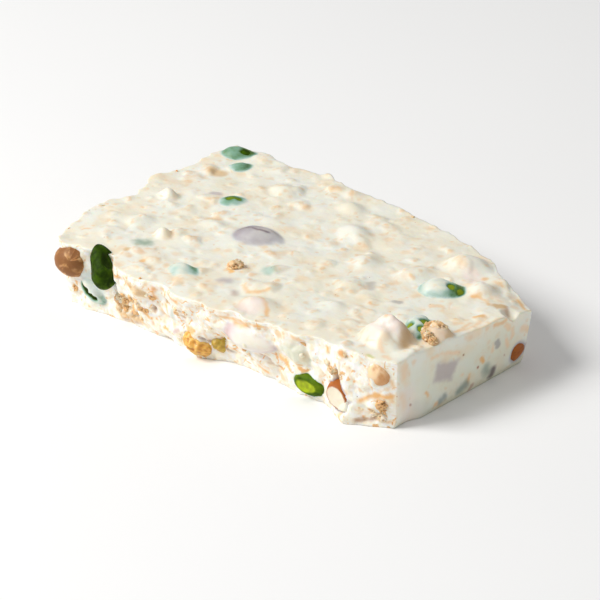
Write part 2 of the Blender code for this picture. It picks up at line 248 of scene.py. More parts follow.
def join(parts: Sequence[Piece], name: str) -> Piece:
    """Join meshes into the first of them, and give that this name."""
    deselect_all()
    for part in parts:
        part.select_set(True)
    bpy.context.view_layer.objects.active = parts[0]
    bpy.ops.object.join()
    made = bpy.context.object
    call(made, name)
    return made


def finish_mesh(made: Piece, sharp_degrees: float = 180.0) -> None:
    """Turn the faces of a mesh outwards and shade it smooth up to an angle."""
    take(made)
    bpy.ops.object.mode_set(mode="EDIT")
    bpy.ops.mesh.select_all(action="SELECT")
    bpy.ops.mesh.normals_make_consistent(inside=False)
    bpy.ops.object.mode_set(mode="OBJECT")
    if sharp_degrees < 180.0:
        bpy.ops.object.shade_smooth_by_angle(angle=math.radians(sharp_degrees))
    else:
        bpy.ops.object.shade_smooth()


# Shader sums


def operator(operation: str, swapped: bool = False) -> Callable[["Signal", "Signal | float"], "Signal"]:
    """An operator of signals that adds a Math node.

    Args:
        operation: The node's operation.
        swapped: Whether the signal comes second.

    Returns:
        The method for the Signal class.
    """

    def apply(signal: "Signal", other: "Signal | float") -> "Signal":
        """Add the node."""
        return signal.bench.sum(operation, *((other, signal) if swapped else (signal, other)))

    return apply


class Signal:
    """A number or colour on its way through a material; numbers take part in sums."""

    def __init__(self, bench: "Bench", socket: bpy.types.NodeSocket) -> None:
        """Wrap an output socket of a bench's material."""
        self.bench = bench
        self.socket = socket

    __add__ = operator("ADD")
    __radd__ = operator("ADD", swapped=True)
    __sub__ = operator("SUBTRACT")
    __rsub__ = operator("SUBTRACT", swapped=True)
    __mul__ = operator("MULTIPLY")
    __rmul__ = operator("MULTIPLY", swapped=True)
    __truediv__ = operator("DIVIDE")

    def __abs__(self) -> "Signal":
        """abs(self)"""
        return self.bench.sum("ABSOLUTE", self)

    def step(self, low: float, high: float) -> "Signal":
        """A soft step from 0 at low to 1 at high, falling where low is the larger."""
        node = self.bench.add(
            "ShaderNodeMapRange",
            {"interpolation_type": "SMOOTHSTEP"},
            {"Value": self, "From Min": low, "From Max": high},
        )
        return Signal(self.bench, node.outputs["Result"])


class Bench:
    """A material being made, with one Principled shader that its finish feeds."""

    def __init__(self, name: str) -> None:
        """Start a material of this name."""
        self.material = bpy.data.materials.new(name)
        self.material.use_nodes = True
        self.nodes = self.material.node_tree.nodes
        self.nodes.clear()
        self.shader = self.add("ShaderNodeBsdfPrincipled")
        output = self.add("ShaderNodeOutputMaterial")
        self.material.node_tree.links.new(self.shader.outputs[0], output.inputs["Surface"])
        coordinates = self.add("ShaderNodeTexCoord")
        self.place = self.vector("SCALE", Signal(self, coordinates.outputs["Object"]), scale=1.0 / MM)

    def add(self, kind: str, settings: dict | None = None, feeds: dict | None = None) -> bpy.types.Node:
        """Add a node.

        Args:
            kind: The node's type.
            settings: Its own settings by name.
            feeds: The value or signal for each input, by the input's name or number.

        Returns:
            The node.
        """
        node = self.nodes.new(kind)
        for name, value in (settings or {}).items():
            setattr(node, name, value)
        for name, value in (feeds or {}).items():
            self.feed(node.inputs[name], value)
        return node

    def feed(self, socket: bpy.types.NodeSocket, value: "Signal | float | tuple") -> None:
        """Link a signal to an input, or set the input to a plain value."""
        if isinstance(value, Signal):
            self.material.node_tree.links.new(value.socket, socket)
        else:
            socket.default_value = value

    def sum(self, operation: str, *values: "Signal | float") -> Signal:
        """Add a Math node for an operation on signals and numbers."""
        node = self.add("ShaderNodeMath", {"operation": operation}, dict(enumerate(values)))
        return Signal(self, node.outputs[0])

    def vector(
        self,
        operation: str,
        first: Signal,
        second: "Signal | Place" = (0, 0, 0),
        scale: float | None = None,
    ) -> Signal:
        """Add a Vector Math node for an operation on places."""
        feeds = {0: first, 1: second} if scale is None else {0: first, "Scale": scale}
        node = self.add("ShaderNodeVectorMath", {"operation": operation}, feeds)
        return Signal(self, node.outputs["Vector"])

    def noise(
        self, size: float, detail: float = 2.0, seed: float = 0.0, place: Signal | None = None
    ) -> Signal:
        """Noise from 0 to 1 with lumps of a size in millimetres."""
        feeds = {"Vector": place or self.place, "W": seed, "Scale": 1.0 / size, "Detail": detail}
        return Signal(self, self.add("ShaderNodeTexNoise", {"noise_dimensions": "4D"}, feeds).outputs[0])

    def warped(self, place: Signal, size: float, amount: float) -> Signal:
        """Places pushed about by up to an amount, both in millimetres."""
        pushed = self.add("ShaderNodeTexNoise", {}, {"Vector": place, "Scale": 1.0 / size, "Detail": 1.0})
        centred = self.vector("SUBTRACT", Signal(self, pushed.outputs["Color"]), (0.5, 0.5, 0.5))
        return self.vector("ADD", place, self.vector("SCALE", centred, scale=2.0 * amount))

    def cells(self, place: Signal, size: float, shift: Place = (0, 0, 0)) -> tuple[Signal, Signal]:
        """Cells of a width in millimetres: the distance to each one's middle, and its own number."""
        moved = self.vector("ADD", place, shift)
        node = self.add("ShaderNodeTexVoronoi", {}, {"Vector": moved, "Scale": 1.0 / size})
        parts = self.add("ShaderNodeSeparateColor", {}, {0: Signal(self, node.outputs["Color"])})
        return Signal(self, node.outputs["Distance"]), Signal(self, parts.outputs[0])

    def mix(self, share: "Signal | float", first: "Signal | Colour", second: "Signal | Colour") -> Signal:
        """A blend from the first colour at 0 to the second at 1."""
        node = self.add("ShaderNodeMix", {"data_type": "RGBA"}, {0: share, 6: first, 7: second})
        return Signal(self, node.outputs[2])

    def ramp(self, value: Signal, *stops: tuple[float, Colour]) -> Signal:
        """A colour for each value from 0 to 1."""
        node = self.add("ShaderNodeValToRGB", {}, {0: value})
        elements = node.color_ramp.elements
        while len(elements) < len(stops):
            elements.new(1.0)
        for element, (where, colour) in zip(elements, stops):
            element.position = where
            element.color = colour
        return Signal(self, node.outputs[0])

    def vertex(self, name: str, output: str = "Fac") -> Signal:
        """The number that the mesh's vertices have under this name, or their "Color"."""
        node = self.add("ShaderNodeAttribute", {"attribute_name": name})
        return Signal(self, node.outputs[output])

    def flecks(
        self, colour: Signal, rows: Sequence[tuple], fade: Flat, fray: float, place: Signal
    ) -> Signal:
        """Scatter ragged flecks over a colour, one size after another.

        Args:
            colour: The colour under the flecks.
            rows: Their width, shift, least number of a cell that shows, colour and share, and the
                size and seed of the noise that frays them.
            fade: Where a fleck ends and where it is full, in cell widths from its middle.
            fray: How strongly the noise frays them.
            place: Where the cells are read.

        Returns:
            The colour with the flecks on it.
        """
        for size, shift, least, hue, share, grain, seed in rows:
            distance, owner = self.cells(place, size, shift)
            ragged = distance + fray * self.noise(grain, seed=seed)
            colour = self.mix(ragged.step(*fade) * owner.step(least, least + 0.03) * share, colour, hue)
        return colour

    def smeared(self, colour: Signal, chocolate: Colour, grain: float, full: float = 0.62) -> Signal:
        """Chocolate that clings to a kernel, with an edge frayed by noise of a grain in millimetres."""
        smear = self.vertex("smear") + 0.5 * (self.noise(grain, seed=5.0) - 0.5)
        return self.mix(smear.step(0.45, full), colour, chocolate)

    def dress(
        self,
        colour: Signal,
        rough: "Signal | float",
        gloss: float | None = None,
        glow: "Glow | None" = None,
    ) -> bpy.types.Material:
        """Feed the Principled shader.

        Args:
            colour: The base colour.
            rough: The roughness.
            gloss: The specular level, or None for the usual one.
            glow: The light that passes under the surface, or None for none.

        Returns:
            The material.
        """
        feeds = {"Base Color": colour, "Roughness": rough}
        if gloss is not None:
            feeds["Specular IOR Level"] = gloss
        if glow:
            feeds["Subsurface Weight"] = glow.weight
            feeds["Subsurface Radius"] = glow.radius
            feeds["Subsurface Scale"] = glow.scale * MM
        for name, value in feeds.items():
            self.feed(self.shader.inputs[name], value)
        return self.material

    def bump(self, height: Signal, depth: float, strength: float) -> None:
        """Raise the surface by a height from 0 to 1 that stands for a depth in millimetres."""
        feeds = {"Height": height, "Distance": depth * MM, "Strength": strength}
        node = self.add("ShaderNodeBump", {}, feeds)
        self.feed(self.shader.inputs["Normal"], Signal(self, node.outputs[0]))


# Finishes


# For each colour of kernel: what its depth is called, how deep it still shows, and what it looks
# like there, from bare at 0 to its deepest at 1.
KERNELS_BELOW = (
    (
        "green_below",
        0.65,
        (
            (0.0, (84, 112, 24)),
            (0.08, (80, 120, 56)),
            (0.2, (130, 172, 146)),
            (0.36, (182, 210, 204)),
            (0.62, (214, 227, 219)),
            (1.0, (233, 235, 223)),
        ),
    ),
    (
        "brown_below",
        1.0,
        ((0.0, (140, 104, 98)), (0.12, (160, 148, 152)), (0.45, (196, 194, 200)), (1.0, (224, 222, 217))),
    ),
    ("pale_below", 0.6, ((0.0, (226, 190, 144)), (0.5, (240, 220, 194)))),
    (
        "rose_below",
        0.8,
        ((0.0, (196, 162, 160)), (0.12, (218, 198, 197)), (0.35, (234, 227, 223)), (1.0, (242, 239, 228))),
    ),
)


@dataclass(frozen=True)
class Glow:
    """Light under a surface: its share, how far each colour goes, and what that is in millimetres."""

    weight: float
    radius: Place
    scale: float


@dataclass(frozen=True)
class ChocolateFinish:
    """Poured white chocolate: ivory with blurred crisps in it, and crumbly cream where it is broken."""

    name: str = "white_chocolate_dressed"
    ivory: Colour = paint(241, 241, 229)
    warm_ivory: Colour = paint(243, 237, 217)
    peach: Colour = paint(245, 224, 192)
    tan: Colour = paint(238, 198, 148)
    amber: Colour = paint(238, 178, 98)
    cream: Colour = paint(247, 240, 222)
    white: Colour = paint(251, 250, 244)
    speck: Colour = paint(168, 96, 58)

    def make(self) -> bpy.types.Material:
        """Write the material."""
        bench = Bench(self.name)
        broken = bench.vertex("broken")
        place = bench.warped(bench.place, 4.5, 1.1)
        swirl = bench.noise(12.0, seed=1.0, place=place).step(0.35, 0.65)
        colour = bench.mix(swirl, self.ivory, self.warm_ivory)
        cloud = bench.noise(6.5, 3.0, seed=4.0, place=place).step(0.5, 0.75)
        colour = bench.mix(cloud * 0.7, colour, self.peach)
        colour = self._smudges(bench, place, colour)
        colour = self._arcs(bench, place, colour)
        colour = bench.mix(broken, colour, self._crumble(bench, place))
        colour = self._kernels_below(bench, colour)
        # The stains, with the rows of painted shade among them.
        colour = bench.mix(bench.vertex("stain_and_shade_share"), colour, bench.vertex("stain_and_shade", "Color"))
        dots, owner = bench.cells(bench.place, 2.6, (7.0, 3.0, 1.0))
        speck = dots.step(0.09, 0.04) * owner.step(0.88, 0.9)
        colour = bench.mix(speck * 0.7, colour, self.speck)
        fine = bench.noise(0.45, seed=11.0)
        soft = bench.noise(2.0, 1.5, seed=12.0)
        pores, _ = bench.cells(bench.place, 0.9)
        bench.bump(soft * 0.5 + fine * (0.06 + 0.6 * broken) + pores * broken * 0.35, 0.28, 0.75)
        rough = 0.36 + 0.2 * broken + 0.1 * bench.noise(2.5, seed=9.0)
        return bench.dress(colour, rough, 0.42, Glow(0.55, (1.0, 0.82, 0.6), 1.0))

    def _smudges(self, bench: Bench, place: Signal, colour: Signal) -> Signal:
        """Blurred crisps that lie just under the surface."""
        rows = (
            (7.5, (3.0, 8.0, 2.0), 0.58, self.peach, 0.8, 0.45 * 7.5, 7.5),
            (4.8, (11.0, 1.0, 7.0), 0.6, self.tan, 0.4, 0.45 * 4.8, 4.8),
            (3.0, (2.0, 5.0, 13.0), 0.74, self.tan, 0.45, 0.45 * 3.0, 3.0),
            (1.9, (9.0, 2.0, 5.0), 0.86, self.amber, 0.35, 0.45 * 1.9, 1.9),
        )
        colour = bench.flecks(colour, rows, (0.7, 0.3), 0.5, place)
        grain = bench.noise(2.3, seed=15.0).step(0.38, 0.66)
        return bench.mix(bench.vertex("poked").step(0.35, 0.95) * grain * 0.65, colour, self.tan)

    def _arcs(self, bench: Bench, place: Signal, colour: Signal) -> Signal:
        """Thin curved edges of wafer."""
        for size, seed, share in ((7.0, 21.0, 0.55), (5.0, 33.0, 0.4)):
            line = abs(bench.noise(size, 0.4, seed, place) - 0.5).step(0.045, 0.005)
            shown = bench.noise(6.0, seed=seed + 5.0).step(0.58, 0.74)
            colour = bench.mix(line * shown * share, colour, self.amber)
        return colour

    def _crumble(self, bench: Bench, place: Signal) -> Signal:
        """The broken sides: warmer cream, whiter patches of painted highlight and the amber edges of
        flakes.
        """
        # Whiter patches over the cream: painted highlight on the crumbs.
        crumb = bench.mix(bench.noise(1.8, 3.0, seed=41.0).step(0.4, 0.62), self.cream, self.white)
        rows = (
            (3.4, (4.0, 2.0, 6.0), 0.62, self.peach, 0.85, 1.1, 43.4),
            (2.4, (1.0, 9.0, 3.0), 0.72, self.tan, 0.7, 1.1, 42.4),
            (1.7, (6.0, 4.0, 9.0), 0.74, self.amber, 0.75, 1.1, 41.7),
        )
        crumb = bench.flecks(crumb, rows, (0.66, 0.36), 0.6, place)
        seam = bench.vertex("seam") * bench.noise(3.2, seed=43.0).step(0.45, 0.62)
        crumb = bench.mix(seam * 0.45, crumb, self.tan)
        line = abs(bench.noise(3.6, 1.0, 51.0, place) - 0.5).step(0.04, 0.014)
        shown = bench.noise(3.0, seed=53.0).step(0.55, 0.62)
        return bench.mix(line * shown * 0.8, crumb, self.amber)

    def _kernels_below(self, bench: Bench, colour: Signal) -> Signal:
        """What shows of the kernels through the chocolate over them."""
        for name, reach, stops in KERNELS_BELOW:
            ragged = 0.15 * (bench.noise(1.8, seed=reach * 50.0) - 0.5)
            depth = bench.vertex(name) + ragged
            shade = bench.ramp(depth / (2.0 * reach), *((where, paint(*seen)) for where, seen in stops))
            colour = bench.mix(depth.step(1.5 * reach, 0.4 * reach), colour, shade)
        return colour


@dataclass(frozen=True)
class PistachioFinish:
    """Green kernels with a thin mottled skin, brighter where they are cut."""

    name: str = "pistachio_dressed"
    deep: Colour = paint(30, 50, 0)
    leaf: Colour = paint(76, 112, 4)
    lime: Colour = paint(146, 160, 40)
    skin: Colour = paint(70, 62, 30)
    heart: Colour = paint(176, 196, 36)
    chocolate: Colour = paint(240, 238, 222)

    def make(self) -> bpy.types.Material:
        """Write the material."""
        bench = Bench(self.name)
        tone = bench.vertex("tone")
        mottle = bench.noise(2.2, 3.0, seed=2.0)
        colour = bench.mix((mottle * 0.9 + tone - 0.5).step(0.2, 0.75), self.deep, self.leaf)
        # Lime on the raised lumps: partly the kernel's own tone, partly painted highlight.
        raised = (bench.vertex("ridge") * 0.5 + tone).step(0.75, 1.25)
        colour = bench.mix(raised * 0.8, colour, self.lime)
        colour = bench.mix(bench.noise(1.5, seed=6.0).step(0.62, 0.7) * 0.35, colour, self.skin)
        inner = bench.mix(bench.noise(1.6, seed=8.0).step(0.35, 0.65), self.lime, self.heart)
        colour = bench.mix(bench.vertex("cut"), colour, inner)
        colour = bench.smeared(colour, self.chocolate, 0.9, full=0.6)
        fine = bench.noise(0.5, seed=3.0)
        bench.bump(fine * 0.6 + mottle, 0.18, 0.8)
        return bench.dress(colour, 0.4 + 0.25 * fine, 0.08, Glow(0.12, (0.6, 0.7, 0.1), 0.6))


@dataclass(frozen=True)
class NutFinish:
    """A nut with fibres along it, a skin in places and a pale heart where it is cut."""

    name: str
    light: Colour
    dark: Colour
    skin: Colour
    heart: Colour
    skin_from: float
    rough: float = 0.5
    husk: Colour = paint(122, 70, 30)
    chocolate: Colour = paint(241, 237, 222)

    def make(self) -> bpy.types.Material:
        """Write the material."""
        bench = Bench(self.name)
        tone = bench.vertex("tone")
        ridge = bench.vertex("ridge")
        cloud = bench.noise(2.6, 3.0, seed=2.0)
        fibre = (ridge * 0.8 + cloud + tone - 0.65).step(0.25, 0.85)
        colour = bench.mix(fibre, self.dark, self.light)
        patch = bench.noise(3.0, 3.0, seed=7.0) - 0.2 * ridge + 0.5 * (0.5 - tone)
        patch = patch.step(self.skin_from - 0.22, self.skin_from + 0.1)
        skin = bench.mix(tone.step(0.3, 0.0) * fibre.step(0.7, 0.15), self.skin, self.husk)
        colour = bench.mix(patch * 0.85, colour, skin)
        # Darker skin on the side turned from the light: part the nut's skin, part painted shade.
        colour = bench.mix(bench.vertex("skin_and_shade") * (0.35 + 0.6 * ridge), colour, skin)
        colour = bench.mix(bench.vertex("cut"), colour, self.heart)
        colour = bench.smeared(colour, self.chocolate, 1.1)
        fine = bench.noise(0.4, seed=3.0)
        bench.bump(fine * 0.4 + ridge, 0.16, 0.8)
        return bench.dress(colour, self.rough + 0.15 * fine, 0.3, Glow(0.25, (1.0, 0.6, 0.3), 0.8))


@dataclass(frozen=True)
class SultanaFinish:
    """Wrinkled, half clear fruit: amber on its folds and brown in them, partly its own colour and partly
    painted highlight and shade.
    """

    name: str = "sultana_dressed"
    fold: Colour = paint(240, 200, 116)
    body: Colour = paint(226, 168, 72)
    valley: Colour = paint(176, 112, 46)
    olive: Colour = paint(176, 156, 52)
    chocolate: Colour = paint(240, 232, 210)

    def make(self) -> bpy.types.Material:
        """Write the material."""
        bench = Bench(self.name)
        ridge = bench.vertex("ridge")
        # Darker in the creases and paler on the folds: the fruit's colour, with painted shade and
        # highlight.
        colour = bench.mix(ridge.step(0.25, 0.8), self.valley, self.body)
        colour = bench.mix(ridge.step(0.62, 1.0) * 0.9, colour, self.fold)
        colour = bench.mix(bench.vertex("tone").step(0.5, 0.1) * 0.7, colour, self.olive)
        colour = bench.smeared(colour, self.chocolate, 1.0)
        fine = bench.noise(0.5, seed=3.0)
        bench.bump(fine, 0.1, 0.6)
        return bench.dress(colour, 0.3 + 0.25 * fine, glow=Glow(0.5, (1.2, 0.7, 0.2), 1.2))


@dataclass(frozen=True)
class CrispFinish:
    """Porous puffs of crisp: tan walls, pores browned partly by their toast and partly by painted shade,
    and a little chocolate on top.
    """

    name: str = "crisp_dressed"
    wall: Colour = paint(240, 216, 178)
    toast: Colour = paint(226, 180, 124)
    pore: Colour = paint(168, 120, 72)
    chocolate: Colour = paint(244, 236, 218)

    def make(self) -> bpy.types.Material:
        """Write the material."""
        bench = Bench(self.name)
        tone = bench.vertex("tone")
        cloud = bench.noise(1.4, seed=2.0)
        colour = bench.mix((cloud + tone - 0.5).step(0.3, 0.7), self.wall, self.toast)
        # Brown in the pores by their depth: the toast of the crisp and painted shade in the pits.
        deep = bench.vertex("pore").step(0.25, 0.85)
        colour = bench.mix(deep * (0.35 + 0.65 * tone), colour, self.pore)
        coat = bench.noise(1.8, seed=6.0) - 0.4 * tone
        colour = bench.mix(coat.step(0.34, 0.48) * 0.85, colour, self.chocolate)
        fine = bench.noise(0.35, seed=3.0)
        bench.bump(fine, 0.15, 0.8)
        return bench.dress(colour, 0.55 + 0.2 * fine, glow=Glow(0.3, (1.0, 0.6, 0.3), 0.7))


@dataclass(frozen=True)
class FlakeFinish:
    """Thin wafer: amber to straw, each flake with its own tone."""

    name: str = "wafer_dressed"
    straw: Colour = paint(244, 222, 186)
    tan: Colour = paint(240, 200, 148)
    amber: Colour = paint(228, 164, 90)

    def make(self) -> bpy.types.Material:
        """Write the material."""
        bench = Bench(self.name)
        tone = bench.vertex("tone")
        cloud = bench.noise(1.1, seed=2.0)
        bake = (tone + 0.5 * (cloud - 0.5)).step(0.1, 0.9)
        colour = bench.ramp(bake, (0.0, self.straw), (0.55, self.tan), (1.0, self.amber))
        fine = bench.noise(0.3, seed=3.0)
        bench.bump(fine, 0.08, 0.6)
        return bench.dress(colour, 0.45 + 0.2 * fine, glow=Glow(0.3, (1.0, 0.5, 0.2), 0.5))


@dataclass(frozen=True)
class FloorFinish:
    """A plain pale studio floor."""

    name: str = "studio_floor"
    pale: Colour = (0.95, 0.95, 0.95, 1.0)
    paler: Colour = (0.97, 0.97, 0.965, 1.0)

    def make(self) -> bpy.types.Material:
        """Write the material."""
        bench = Bench(self.name)
        return bench.dress(bench.mix(bench.noise(90.0), self.pale, self.paler), 0.8, 0.1)


# Sides


class Side(Enum):
    """A side of the bar: the axis that it faces along, and which way."""

    TOP = (2, 1.0)
    WALL = (0, 1.0)
    FRONT = (1, -1.0)
    BACK = (1, 1.0)
    LEFT = (0, -1.0)

    def __init__(self, deep: int, way: float) -> None:
        """Work out the two axes in the side and the directions out of the bar and into it."""
        self.deep = deep
        self.way = way
        self.axes = [axis for axis in range(3) if axis != deep]
        self.outward = tuple(way if axis == deep else 0.0 for axis in range(3))
        self.inward = tuple(-way if axis == deep else 0.0 for axis in range(3))


BREAKS = (Side.FRONT, Side.BACK, Side.LEFT)
HARDLY, ALMOST = 0.001, 0.999


def on_sides(shares: np.ndarray) -> dict[Side, np.ndarray]:
    """Which places lie on each side, from their shares of the way to the wall, back and top."""
    u, v, w = shares.T
    return {
        Side.TOP: w > ALMOST,
        Side.WALL: u > ALMOST,
        Side.FRONT: v < HARDLY,
        Side.BACK: v > ALMOST,
        Side.LEFT: u < HARDLY,
    }


# Kernels


class Kind(Enum):
    """What a kernel is."""

    PISTACHIO = "pistachio"
    HAZELNUT = "hazelnut"
    ALMOND = "almond"
    BLANCHED_ALMOND = "blanched_almond"
    SULTANA = "sultana"


@dataclass(frozen=True)
class Film:
    """The chocolate that has run over a kernel just inside a side.

    thickness is in millimetres, thin_towards is the way along that side in which the film thins
    out, bare holds the middle and radius of each place where the kernel comes through, and uneven
    is how much the thickness wanders.
    """

    thickness: float = 0.4
    thin_towards: Flat = (0.6, 0.8)
    thinning: float = 0.75
    bare: tuple[Place, ...] = ()
    uneven: float = 0.4
    over: Side = Side.TOP


@dataclass(frozen=True)
class Kernel:
    """A nut or a sultana: its middle and size in millimetres, and its turn in degrees.

    broken holds the side towards which it is broken flat and how far from the middle that is. tone
    runs from 0, dark, to 1, bright. smears hold directions from the middle and how far round each
    the chocolate clings, from 0 to 1, and the next field holds the same for a darker skin colour,
    which is also painted shade on the side turned from the light. dents hold directions, reaches
    from 0 to 1, and depths in millimetres.
    """

    name: str
    kind: Kind
    middle: Place
    size: Place
    turn: Place = (0, 0, 0)
    broken: tuple[Side, float] | None = None
    tone: float = 0.5
    film: Film | None = None
    smears: tuple[tuple[Place, float], ...] = ()
    skin_and_shade: tuple[tuple[Place, float], ...] = ()
    dents: tuple[tuple[Place, float, float], ...] = ()


UP = Vector((0.0, 0.0, 1.0))

# Where two of the pistachios come through, spot after spot.
LOW_SLIVER = (
    (-113.4, 8.4, 1.1),
    (-112.2, 7.6, 1.3),
    (-110.8, 6.7, 1.4),
    (-109.4, 5.9, 1.3),
    (-108.2, 5.1, 1.1),
)
BY_PEAK = ((-10.2, 16.8, 1.3), (-7.6, 20.2, 1.8), (-6.2, 16.8, 1.4), (-3.6, 13.8, 2.1), (-12.2, 23.2, 1.2))

PISTACHIOS = (
    Kernel(
        "pistachio_front_upright", Kind.PISTACHIO, (-104.8, -5.8, 16.4), (13.4, 8.2, 7.0), (0, -52, 148),
        tone=0.4,
        dents=(((0.66, 0.16, 0.71), 0.3, 1.3), ((-0.4, -0.7, 0.1), 0.3, 0.6)),
    ),
    Kernel(
        "pistachio_front_low", Kind.PISTACHIO, (-110.2, -3.5, 6.6), (9.6, 6.0, 5.4), (0, 40, 4),
        tone=0.3,
        film=Film(0.8, (0.0, -1.0), 0.2, LOW_SLIVER, over=Side.FRONT),
    ),
    Kernel(
        "pistachio_front_cut", Kind.PISTACHIO, (-28.4, -1.6, 4.2), (13.4, 7.4, 6.6), (0, 3, 5),
        broken=(Side.FRONT, 3.0),
        tone=0.62,
    ),
    Kernel(
        "pistachio_top_wide", Kind.PISTACHIO, (-18.4, 41.2, 18.4), (14.2, 9.6, 7.4), (0, 0, 34),
        tone=0.95,
        film=Film(0.75, (0.75, 0.5), 0.9, ((-12.6, 42.2, 1.9), (-13.0, 39.8, 1.7), (-16.0, 41.6, 1.3))),
    ),
    Kernel(
        "pistachio_top_by_peak", Kind.PISTACHIO, (-8.4, 18.6, 18.4), (14.0, 8.0, 7.4), (0, 4, -50),
        tone=0.9,
        film=Film(0.6, (0.9, 0.4), 0.9, BY_PEAK),
    ),
    Kernel(
        "pistachio_top_pool", Kind.PISTACHIO, (-80.0, 2.0, 18.0), (11.5, 8.4, 6.8), (0, 0, 12),
        film=Film(0.62, (0.5, 0.85), 0.85),
    ),
    Kernel(
        "pistachio_top_bright", Kind.PISTACHIO, (-100.4, 44.8, 17.9), (9.6, 7.4, 6.6), (0, 0, 38),
        tone=0.75,
        film=Film(0.35, (-0.3, 0.9), 0.8, ((-101.6, 44.4, 1.6), (-99.6, 45.6, 1.2))),
    ),
    Kernel(
        "pistachio_top_far", Kind.PISTACHIO, (-121.8, 70.6, 18.0), (12.0, 7.8, 7.2), (0, 0, 30),
        film=Film(0.3, (0.5, 0.8), 0.8, ((-120.0, 71.0, 1.4),)),
    ),
    Kernel(
        "pistachio_top_dark", Kind.PISTACHIO, (-115.2, 64.4, 17.8), (8.4, 6.0, 6.0), (0, 0, 50),
        film=Film(0.35, (0.5, 0.8), 0.8),
    ),
    Kernel(
        "pistachio_back_cut", Kind.PISTACHIO, (-86.0, 70.5, 9.0), (12.5, 7.6, 7.0), (0, 20, 4),
        broken=(Side.BACK, 2.8),
        tone=0.6,
    ),
    Kernel(
        "pistachio_back_corner", Kind.PISTACHIO, (-29.0, 61.5, 8.0), (12.0, 7.4, 6.6), (0, -25, -25),
        tone=0.5,
    ),
    Kernel("pistachio_left", Kind.PISTACHIO, (-125.0, 33.0, 9.0), (12.5, 7.6, 7.0), (0, 15, 80), tone=0.4),
)
HAZELNUTS = (
    Kernel(
        "hazelnut_corner", Kind.HAZELNUT, (-6.2, 0.3, 15.0), (9.4, 8.4, 8.4), (0, 50, 20),
        tone=0.5,
        smears=(((-0.5, -0.25, 0.85), 0.28),),
        # Darker skin on the lower right, away from the light: part skin, part painted shade.
        skin_and_shade=(((0.8, -0.3, -0.5), 0.6), ((0.1, -0.3, -0.95), 0.4)),
    ),
    Kernel(
        "hazelnut_left_front", Kind.HAZELNUT, (-117.6, -4.6, 14.2), (11.6, 10.8, 10.2), (0, 20, 120),
        tone=0.0,
        smears=(((-0.3, 0.2, 0.9), 0.4),),
    ),
    Kernel(
        "hazelnut_left", Kind.HAZELNUT, (-124.5, 53.5, 10.5), (12.0, 11.5, 11.0), (10, 0, 30),
        broken=(Side.LEFT, 4.2),
    ),
    Kernel(
        "hazelnut_back", Kind.HAZELNUT, (-57.5, 67.0, 11.0), (12.0, 11.5, 11.0), (20, 0, 60),
        broken=(Side.BACK, 4.6),
    ),
    Kernel(
        "hazelnut_back_far", Kind.HAZELNUT, (-106.0, 69.5, 13.2), (11.5, 11.0, 10.6), (0, 30, 10),
        tone=0.4,
        smears=(((0.2, 0.4, 0.9), 0.4),),
    ),
)
ALMONDS = (
    Kernel(
        "almond_front_pale", Kind.BLANCHED_ALMOND, (-50.0, -3.2, 13.2), (19.0, 10.0, 9.0), (0, 6, -4),
        tone=0.6,
        film=Film(0.9, (-1.0, 0.2), 0.85, uneven=0.2, over=Side.FRONT),
    ),
    Kernel(
        "almond_front_low", Kind.ALMOND, (-15.8, -3.2, 5.2), (12.0, 9.0, 7.8), (0, 40, 4),
        broken=(Side.FRONT, 3.3),
        tone=0.8,
        smears=(((0.7, -0.4, -0.6), 0.55),),
    ),
    Kernel("almond_end", Kind.ALMOND, (-0.5, 49.2, 5.9), (11.0, 7.8, 9.4), (0, 0, 80), tone=0.5),
    Kernel(
        "almond_top", Kind.ALMOND, (-79.0, 32.0, 17.5), (17.0, 12.4, 8.0), (8, 0, 14),
        film=Film(0.8, (-0.9, 0.4), 0.5, uneven=0.15),
    ),
    Kernel(
        "almond_back", Kind.ALMOND, (-71.0, 68.0, 5.4), (16.0, 10.0, 7.0), (0, 6, 8),
        broken=(Side.BACK, 3.6),
    ),
)
SULTANAS = (
    Kernel(
        "sultana_front_amber", Kind.SULTANA, (-68.8, -4.6, 4.3), (9.8, 7.4, 6.4), (0, 22, 8),
        tone=0.8,
        smears=(((-0.8, -0.4, -0.5), 0.25),),
    ),
    Kernel("sultana_front_olive", Kind.SULTANA, (-62.6, -2.2, 5.8), (6.8, 6.0, 5.0), (0, 50, 10), tone=0.1),
    Kernel("sultana_back", Kind.SULTANA, (-43.0, 67.0, 5.6), (9.0, 7.0, 5.5), (0, 20, 10), tone=0.7),
    Kernel("sultana_left", Kind.SULTANA, (-125.2, 14.0, 5.6), (9.0, 7.0, 5.5), (0, 10, 90), tone=0.6),
)
KERNELS = PISTACHIOS + HAZELNUTS + ALMONDS + SULTANAS


def ring_noise(t: np.ndarray, side: np.ndarray, along: float, around: float, seed: float) -> np.ndarray:
    """Noise on a kernel's skin, with its grain along and around it."""
    return noise_at(columns(along * t + seed, around * np.cos(side), around * np.sin(side)), 1.0)


